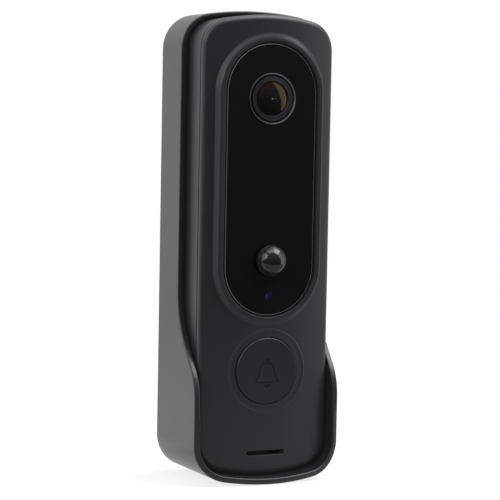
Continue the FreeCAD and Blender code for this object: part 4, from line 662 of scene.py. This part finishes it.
# All lengths from here on are in millimetres, and depths are measured from the wall.
cover = {
    "half": 21.6, "top": 69.6, "bottom": -69.0, "rise": 3.5, "corner": 8.9, "counts": (96, 16, 26),
    "seam": 23.7, "edge": 25.7, "crownRise": 2.4, "wall": 2.0, "ceiling": 25.2, "grid": 1.1,
    "edgeRound": 1.7, "edgeSteps": 8, "probe": 0.1,              # the slope is taken across two probes
    "holds": (0.12, 0.3, 0.5),       # rings past the round, which keep its shading off the face
    "tongue": (0.7, 1.3, 0.9), "seamRound": 0.15,                # inner face, outer face and length
}
windowFrame = {
    "half": 15.28, "top": 61.58, "bottom": -21.08, "counts": (64, 72),       # opening round the window panel
    "ledge": 26.4, "ledgeWidth": 2.55, "level": 28.5, "edgeRound": 0.15,
    "flat": (1.5, 0.75), "flank": (1.25, 2.2),                   # at the sides and at the ends
    "rings": (0.7, 2.4, 12),                                     # start, run and number of the face's rings
}
dish = {
    "height": -37.4, "bore": 10.32, "seat": 12.0, "seatDepth": 26.3, "boreRound": 0.12,
    # radius and height above the crown: a shallow hollow with a fine raised rim
    "profile": ((10.44, -0.10), (10.9, -0.13), (11.4, -0.14), (11.9, -0.11), (12.3, -0.04), (12.55, 0.03),
                (12.68, 0.06), (12.76, 0.06), (12.83, 0.035), (12.90, 0.0), (13.0, 0.0), (13.3, 0.0)),
}
slot = {"height": -62.3, "halfLength": 6.3, "halfHeight": 0.72, "counts": (10, 16), "edgeRound": 0.10}

crownRadius = archRadius(cover["half"], cover["crownRise"])
crownTop = cover["edge"] + cover["crownRise"]


def crown(x):
    return crownTop - crownRadius + math.sqrt(crownRadius ** 2 - x ** 2)


def coverDepth(x, z):                # crowned face with the flat frame, which stands proud of it all round
    f = windowFrame
    beyond = max(z - (f["top"] - f["half"]), 0) + min(z - (f["bottom"] + f["half"]), 0)
    away = math.hypot(x, beyond)
    endwards = (beyond / away) ** 2 if away else 0
    flat, flank = (pair[0] + (pair[1] - pair[0]) * endwards for pair in (f["flat"], f["flank"]))
    return f["level"] + (crown(x) - f["level"]) * smooth((away - f["half"] - flat) / flank)


def above(height):                   # a depth that follows the cover's face
    return lambda x, z: coverDepth(x, z) + height


def shoulderRing(skin, line, share):     # one ring of the round from the side wall into the crowned face
    radius, probe = cover["edgeRound"], cover["probe"]
    points = []
    for x, z, outX, outZ in line:
        slope = (crown(x - outX * (radius + probe)) - crown(x - outX * (radius - probe))) / (2 * probe)
        centre = crown(x - outX * radius) - radius * math.hypot(1, slope)
        angle = (quarter - math.atan(slope)) * share
        inset = radius * (1 - math.cos(angle))
        points.append(skin.point(x - outX * inset, centre + radius * math.sin(angle), z - outZ * inset))
    return points


def makeCover():
    c, f, d, s = cover, windowFrame, dish, slot
    skin = Skin()
    line = archedOutline(c["half"], c["top"], c["bottom"], c["rise"], c["corner"], c["counts"])
    inner, outer, length = c["tongue"]
    under, side = skin.sleeve(line, [
        (-c["wall"], c["ceiling"]), (-c["wall"], c["seam"]), (-outer, c["seam"]),
        (-outer, c["seam"] - length), (-inner, c["seam"] - length), (-inner, c["seam"]),
        *[(-inset, c["seam"] + drop) for inset, drop in rounded(c["seamRound"])],
    ])
    shoulder = [shoulderRing(skin, line, k / c["edgeSteps"]) for k in range(c["edgeSteps"] + 1)]
    shoulder += [skin.ring(line, -c["edgeRound"] - past, coverDepth) for past in c["holds"]]
    for first, second in zip([side, *shoulder], shoulder):
        skin.join(first, second)

    lip = [(inset, f["level"] - drop) for inset, drop in rounded(f["edgeRound"])]
    start, run, count = f["rings"]
    ledge, frameEdge = skin.sleeve(stadium(f["half"], f["top"], f["bottom"], f["counts"]), [
        (-f["ledgeWidth"], c["ceiling"]), (-f["ledgeWidth"], f["ledge"]), (0, f["ledge"]), *reversed(lip),
        *[(start + run * k / count, coverDepth) for k in range(count + 1)],
    ])

    level = d["profile"][0][1]
    boreLip = [(inset, above(level - drop)) for inset, drop in rounded(d["boreRound"])]
    seat, dishEdge = skin.sleeve(circle(d["height"], d["bore"]), [
        (d["seat"] - d["bore"], c["ceiling"]), (d["seat"] - d["bore"], d["seatDepth"]), (0, d["seatDepth"]),
        *reversed(boreLip),
        *[(radius - d["bore"], above(height)) for radius, height in d["profile"][1:]],
    ])

    gap = slotOutline(s["height"], s["halfLength"], s["halfHeight"], s["counts"])
    slotFoot, slotEdge = skin.sleeve(gap, [
        (0, c["ceiling"]), *[(inset, above(-drop)) for inset, drop in reversed(rounded(s["edgeRound"]))],
    ])
    skin.fill(shoulder[-1], [frameEdge, dishEdge, slotEdge], coverDepth, c["grid"])
    skin.fill(under, [ledge, seat, slotFoot])
    skin.piece("cover_shell", "case_plastic", nodesStoodFor=["front_cover"])


makeCover()
print("front cover built")


window = {
    "half": 14.7, "top": 61.0, "bottom": -20.5, "counts": (48, 72), "back": 26.6, "face": 28.1,
    "bevel": 0.25, "hold": 0.15, "holeRound": 0.06,
    "holes": ((44.5, 7.8), (-3.9, 4.75), (-14.7, 0.9)),          # height and radius for lens, dome and pipe
}
domeShape = {
    "height": -3.9, "radius": 4.65, "centre": 29.4, "wall": 0.8, "flange": 5.6, "flangeBack": 26.1,
    "windowBack": 26.6, "steps": 20, "count": 96,
    "weld": 0.001,                   # joins the inner and the outer bowl at their foot
}
lens = {
    "height": 44.5, "flangeBack": 26.1, "windowBack": 26.6, "count": 128,
    "flange": 9.0, "ringBore": 7.0, "ringRadius": 7.7, "ringFace": 28.5, "ringEdge": 0.2,
    "ringChamfer": ((0.42, 0), (0.36, 0.06), (0.04, 0.5), (0, 0.6)),     # outwards from the bore, and drop
    "barrel": 6.7, "barrelFace": 28.4, "barrelEdge": 0.175, "recess": 5.35, "thread": 6.0, "shoulder": 20.0,
    "back": 11.0, "bore": 2.6,
    "grooves": 3, "grooveInset": 0.12, "groovePitch": 0.30, "groove": ((0.0, 0.0), (0.03, 0.02), (0.06, 0.0)),
    "glass": 5.0, "glassEdge": 28.0, "glassSeat": 26.8, "seatRadius": 5.05, "apex": 29.0,
    "glassCounts": (16, 96),         # rings up to the tip, and points round
    "innerGlass": 3.0, "innerSeat": 3.05, "seatDrop": 1.0, "innerBack": 23.0, "innerDepth": 25.0,
    "innerBulge": 0.6, "innerCounts": (8, 64),
}
pipe = {
    "height": -14.7, "radius": 0.8, "flange": 1.6, "foot": 25.5, "flangeBack": 26.1, "flangeFront": 26.6,
    "face": 28.1, "edge": 0.1, "middle": 0.4, "count": 40,
}


def makeWindow():
    w = window
    skin = Skin()
    back, front = skin.sleeve(stadium(w["half"], w["top"], w["bottom"], w["counts"]), [
        (0, w["back"]), *edged(0, w["face"], w["bevel"], polishedEdge), (-w["bevel"] - w["hold"], w["face"]),
    ])
    backHoles, frontHoles = [], []
    for height, radius in w["holes"]:
        foot, mouth = skin.sleeve(circle(height, radius), [
            (0, w["back"]), *edged(0, w["face"], w["holeRound"], side=1),
        ])
        backHoles.append(foot)
        frontHoles.append(mouth)
    skin.fill(front, frontHoles)
    skin.fill(back, backHoles)
    skin.piece("window_plate", "window_acrylic", sharp=20, nodesStoodFor=["window_panel"])


def makeDome():
    d = domeShape
    inner, steps = d["radius"] - d["wall"], d["steps"]
    arc = [quarter * k / steps for k in range(steps)]

    def bowl(radius):                # from its foot up to the tip
        return [*[(radius * math.cos(a), d["centre"] + radius * math.sin(a)) for a in arc],
                (0, d["centre"] + radius)]

    skin = Skin()
    skin.turned(d["height"], [
        (inner, d["flangeBack"]), (d["flange"], d["flangeBack"]), (d["flange"], d["windowBack"]),
        (d["radius"], d["windowBack"]), *bowl(d["radius"]),
    ], d["count"])
    skin.turned(d["height"], [(inner, d["flangeBack"]), *bowl(inner)], d["count"])
    bmesh.ops.remove_doubles(skin.mesh, verts=skin.mesh.verts, dist=d["weld"] * mm)
    skin.piece("motion_dome", "dome_plastic", nodesStoodFor=["pir_dome"])


def makeTrimRing():
    v = lens
    skin = Skin()
    skin.turned(v["height"], [
        (v["ringBore"], v["flangeBack"]), (v["flange"], v["flangeBack"]), (v["flange"], v["windowBack"]),
        (v["ringRadius"], v["windowBack"]), *edged(v["ringRadius"], v["ringFace"], v["ringEdge"]),
        *[(v["ringBore"] + out, v["ringFace"] - drop) for out, drop in v["ringChamfer"]],
        (v["ringBore"], v["flangeBack"]),
    ], v["count"])
    skin.piece("camera_trim_ring", "lens_metal", nodesStoodFor=["lens_ring"])


def makeBarrel():
    v = lens
    first = v["barrel"] - v["barrelEdge"] - v["grooveInset"]
    grooves = [(first - v["groovePitch"] * k - shift, v["barrelFace"] - drop)    # fine turned lines
               for k in range(v["grooves"]) for shift, drop in v["groove"]]
    skin = Skin()
    skin.turned(v["height"], [
        (v["bore"], v["back"]), (v["thread"], v["back"]), (v["thread"], v["shoulder"]),
        (v["barrel"], v["shoulder"]), *edged(v["barrel"], v["barrelFace"], v["barrelEdge"]), *grooves,
        (v["recess"], v["barrelFace"]), (v["seatRadius"], v["glassEdge"]), (v["seatRadius"], v["glassSeat"]),
        (v["innerSeat"], v["glassSeat"] - v["seatDrop"]), (v["innerSeat"], v["innerBack"]),
        (v["bore"], v["innerBack"]), (v["bore"], v["back"]),
    ], v["count"])
    skin.piece("camera_barrel", "lens_metal", nodesStoodFor=["lens_barrel"], finish=barrelMetal)


def makeGlasses():
    v = lens
    steps, count = v["glassCounts"]
    radius = archRadius(v["glass"], v["apex"] - v["glassEdge"])
    across = [v["glass"] * k / steps for k in range(steps, -1, -1)]
    bulge = [(x, v["apex"] - radius + math.sqrt(radius ** 2 - x ** 2)) for x in across]
    skin = Skin()
    skin.turned(v["height"], [(0, v["glassSeat"]), (v["glass"], v["glassSeat"]), *bulge], count)
    skin.piece("camera_front_glass", "lens_glass", nodesStoodFor=["lens_front_glass"])

    steps, count = v["innerCounts"]
    shares = [k / steps for k in range(steps, -1, -1)]
    bulge = [(v["innerGlass"] * share, v["innerDepth"] - v["innerBulge"] * share ** 2) for share in shares]
    skin = Skin()
    skin.turned(v["height"], [(0, v["innerBack"]), (v["innerGlass"], v["innerBack"]), *bulge], count)
    skin.piece("camera_inner_glass", "lens_glass", nodesStoodFor=["lens_inner_glass"])


def makePipe():
    p = pipe
    skin = Skin()
    skin.turned(p["height"], [
        (0, p["foot"]), (p["radius"], p["foot"]), (p["radius"], p["flangeBack"]),
        (p["flange"], p["flangeBack"]), (p["flange"], p["flangeFront"]), (p["radius"], p["flangeFront"]),
        (p["radius"], p["face"] - p["edge"]), (p["radius"] - p["edge"], p["face"]),
        (p["middle"], p["face"]), (0, p["face"]),
    ], p["count"])
    skin.piece("status_pipe", "led_clear", nodesStoodFor=["light_pipe"])


makeWindow()
makeDome()
makeTrimRing()
makeBarrel()
makeGlasses()
makePipe()
print("window, camera, dome and light pipe built")


button = {
    "height": -37.4, "stem": 2.0, "tip": 26.6, "under": 27.0, "inside": 8.77,
    "flange": 11.4, "flangeBack": 25.7, "flangeFront": 26.2,
    "radius": 10.07, "face": 28.15, "bevel": 0.26, "hold": 0.12, "count": 128,
    # right half of the bell's outline, from the middle of its lip up to its crown
    "bell": ((0, -3.45), (1.3, -3.45), (2.6, -3.45), (3.5, -3.42), (3.8, -3.12), (3.42, -2.6), (2.78, -1.6),
             (2.42, 0.1), (2.12, 1.2), (1.5, 2.05), (0.6, 2.36), (0, 2.4)),
    "bellSpan": 6,                                               # points for each span of the bell
    "knob": (3.3, 0.5, 20),                                      # height, radius and points round
    "clapper": (-4.0, 1.05, 1.0, 14),                            # height, half width, depth and steps
    "clapperSlope": 0.05,
    "groove": 0.17, "grooveFloor": 0.35, "deep": 0.22,           # half width, flat share of it, and depth
}


def bellLines(b):                    # outlines of the bell, its knob and its clapper
    right = [(x, z + b["height"]) for x, z in curveThrough(b["bell"], b["bellSpan"])]
    left = [(-x, z) for x, z in right[-2:0:-1]]
    knobHeight, knobRadius, count = b["knob"]
    low, wide, tall, steps = b["clapper"]
    angles = [math.pi * k / steps for k in range(steps + 1)]
    clapper = [(-wide * math.cos(angle), b["height"] + low - tall * math.sin(angle)) for angle in angles]
    knob = circle(b["height"] + knobHeight, knobRadius, count)
    return loopThrough([*right, *left]), knob, loopThrough(clapper)


def makeButton():
    b = button
    face, half, deep, slope = b["face"], b["groove"], b["deep"], b["clapperSlope"]
    skin = Skin()
    rings = skin.turned(b["height"], [
        (0, b["tip"]), (b["stem"], b["tip"]), (b["stem"], b["under"]), (b["inside"], b["under"]),
        (b["inside"], b["flangeBack"]), (b["flange"], b["flangeBack"]), (b["flange"], b["flangeFront"]),
        (b["radius"], b["flangeFront"]), *edged(b["radius"], face, b["bevel"], pressedEdge),
        (b["radius"] - b["bevel"] - b["hold"], face),
    ], b["count"])
    bell, knob, clapper = bellLines(b)
    flat = b["grooveFloor"] * half
    groove = [(half, face), (flat, face - deep), (-flat, face - deep), (-half, face)]
    outer, inner = [], []
    for line in (bell, knob):
        first, last = skin.sleeve(line, groove)
        outer.append(first)
        inner.append(last)
    rim, floor = skin.sleeve(clapper, [(slope, face), (-slope, face - 2 * deep)])
    skin.fill(rings[-1], [*outer, rim])
    for patch in (*inner, floor):
        skin.fill(patch)
    skin.piece("call_button_cap", "button_plastic", body="button", sharp=24, nodesStoodFor=["call_button"])


makeButton()
print("call button built")


tray = {
    "half": 24.0, "top": 71.1, "bottom": -71.1, "rise": 3.0, "corner": 10.7, "counts": (170, 20, 48),
    "wall": 1.8, "topWall": 1.2, "plate": 2.4, "edgeRound": 0.45, "edgeSteps": 5, "backRound": 0.4,
    "hold": 0.12, "backHold": 0.1,   # rings close to each round keep its shading off the flat walls
    "rim": 15.0, "sweepStart": -13.5, "footRadius": 27.0, "sweepAngle": 38.0, "crestRadius": 15.0,
    "lipSide": 28.9, "lipBlend": 30.0, "lipPeak": 33.0,
    "wallHole": 2.1, "wallSink": 3.9, "holeHeights": (38.0, -38.0), "holeCount": 48,
    "hook": (5.0, 7.0, 9.0, 68.7, 70.2),                         # half width, back, front, foot and top
    "lockDepth": 12.0, "lockSink": (2.85, 1.4), "lockBore": 1.55, "lockCut": (1, -3), "lockCount": 40,
}
lockScrew = {
    "head": 2.8, "headTall": 1.4, "headEdge": ((0.06, 0.08), (0.14, 0), (0.3, 0)),
    "shank": 1.45, "length": 8.0, "count": 48,
    "slotLong": 1.7, "slotWide": 0.42, "slotDeep": 0.8, "slotTaper": 0.12,
}


def sweepDepth(z):                   # the sides' rim, S-shaped from the shallow top to the deep lip
    t = tray
    angle = math.radians(t["sweepAngle"])
    footDepth = t["rim"] + t["footRadius"] * (1 - math.cos(angle))
    footZ = t["sweepStart"] - t["footRadius"] * math.sin(angle)
    crestDepth = t["lipSide"] - t["crestRadius"] * (1 - math.cos(angle))
    crestZ = footZ - (crestDepth - footDepth) / math.tan(angle)
    lipZ = crestZ - t["crestRadius"] * math.sin(angle)
    if z >= t["sweepStart"]:
        return t["rim"]
    if z >= footZ:
        return t["rim"] + t["footRadius"] - math.sqrt(t["footRadius"] ** 2 - (z - t["sweepStart"]) ** 2)
    if z >= crestZ:
        return footDepth + math.tan(angle) * (footZ - z)
    if z >= lipZ:
        return t["lipSide"] - t["crestRadius"] + math.sqrt(t["crestRadius"] ** 2 - (z - lipZ) ** 2)
    return t["lipSide"] + t["lipBlend"] - math.sqrt(max(t["lipBlend"] ** 2 - (z - lipZ) ** 2, 0))


def rimDepth(x, z):                  # the sides' sweep, and the crowned edge of the lip where that is lower
    radius = archRadius(tray["half"], tray["lipPeak"] - tray["lipSide"])
    lip = tray["lipPeak"] - radius + math.sqrt(radius ** 2 - x ** 2)
    return min(sweepDepth(z), lip)


def underneath(x, out, z):           # turns a profile so that its axis enters the tray from below
    return place(x, tray["lockDepth"] + z, tray["bottom"] - out)


def cutAway(item, cutter):           # takes the cutter's shape out of a piece
    bpy.context.scene.collection.objects.link(cutter)
    knife = item.modifiers.new("cut", "BOOLEAN")
    knife.operation, knife.solver, knife.object = "DIFFERENCE", "EXACT", cutter
    bpy.context.view_layer.update()
    cut = bpy.data.meshes.new_from_object(item.evaluated_get(bpy.context.evaluated_depsgraph_get()))
    item.modifiers.clear()
    item.data = cut
    bpy.data.objects.remove(cutter)


def makeTray():
    t = tray
    wall, back, edge = t["wall"], t["backRound"], t["edgeRound"]
    arch, half = archRadius(t["half"], t["rise"]) - wall, t["half"] - wall
    outside = archedOutline(t["half"], t["top"], t["bottom"], t["rise"], t["corner"], t["counts"])
    inside = archedOutline(half, t["top"] - t["topWall"], t["bottom"] + wall,
                           arch - math.sqrt(arch ** 2 - half ** 2), t["corner"] - wall, t["counts"])
    skin = Skin()

    def rimRing(line, inset, drop):
        return skin.ring(line, inset, lambda x, z: rimDepth(x, z) - drop)

    rear, side = skin.sleeve(outside, [
        (-back - t["backHold"], 0), *[(-inset, drop) for inset, drop in rounded(back)],
        (0, back + t["backHold"]),
    ])
    lip = rounded(edge, t["edgeSteps"])
    outer = [side, rimRing(outside, 0, edge + t["hold"]),
             *[rimRing(outside, -inset, drop) for inset, drop in reversed(lip)],
             rimRing(outside, -edge - t["hold"], 0)]
    inner = [rimRing(inside, edge + t["hold"], 0),
             *[rimRing(inside, inset, drop) for inset, drop in lip],
             rimRing(inside, 0, edge + t["hold"])]
    floor = skin.ring(inside, 0, t["plate"])
    rings = [*outer, *inner, floor]
    for first, second in zip(rings, rings[1:]):
        skin.join(first, second)

    rearHoles, floorHoles = [], []
    sink = t["wallSink"] - t["wallHole"]         # countersunk at 45 degrees
    for height in t["holeHeights"]:
        foot, mouth = skin.sleeve(circle(height, t["wallHole"], t["holeCount"]), [
            (0, 0), (0, t["plate"] - sink), (sink, t["plate"]),
        ])
        rearHoles.append(foot)
        floorHoles.append(mouth)
    skin.fill(rear, rearHoles)
    skin.fill(floor, floorHoles)
    across, hookBack, hookFront, low, high = t["hook"]
    skin.box(-across, across, hookBack, hookFront, low, high)
    shell = skin.piece("tray_shell", "tray_plastic", sharp=40, nodesStoodFor=["mounting_tray"])

    hole = Skin(underneath)
    wide, deep = t["lockSink"]
    start, end = t["lockCut"]
    hole.turned(0, [
        (0, start), (wide, start), (wide, 0), (t["lockBore"], -deep), (t["lockBore"], end), (0, end),
    ], t["lockCount"])
    cutAway(shell, bpy.data.objects.new("lock_hole", hole.data("lock_hole")))


def makeLockScrew():
    v = lockScrew
    skin = Skin(underneath)
    rings = skin.turned(0, [
        (0, -v["length"]), (v["shank"] / 2, -v["length"]), (v["shank"], v["shank"] / 2 - v["length"]),
        (v["shank"], -v["headTall"]), *[(v["head"] - inset, -drop) for inset, drop in v["headEdge"]],
    ], v["count"])
    long, wide = v["slotLong"], v["slotWide"]
    arm, cross = ((long, -wide), (long, wide), (wide, wide)), []
    for k in range(4):               # the four arms of the cross recess
        across, along = math.cos(quarter * k), math.sin(quarter * k)
        cross += [(x * across - z * along, x * along + z * across) for x, z in arm]
    rim, floor = skin.sleeve(loopThrough(cross), [(0, 0), (-v["slotTaper"], -v["slotDeep"])])
    skin.fill(rings[-1], [rim])
    skin.fill(floor)
    skin.piece("lock_screw", "screw_steel", sharp=30, nodesStoodFor=["tray_lock_screw"])


makeTray()
makeLockScrew()
print("tray and lock screw built")


bpy.context.view_layer.update()
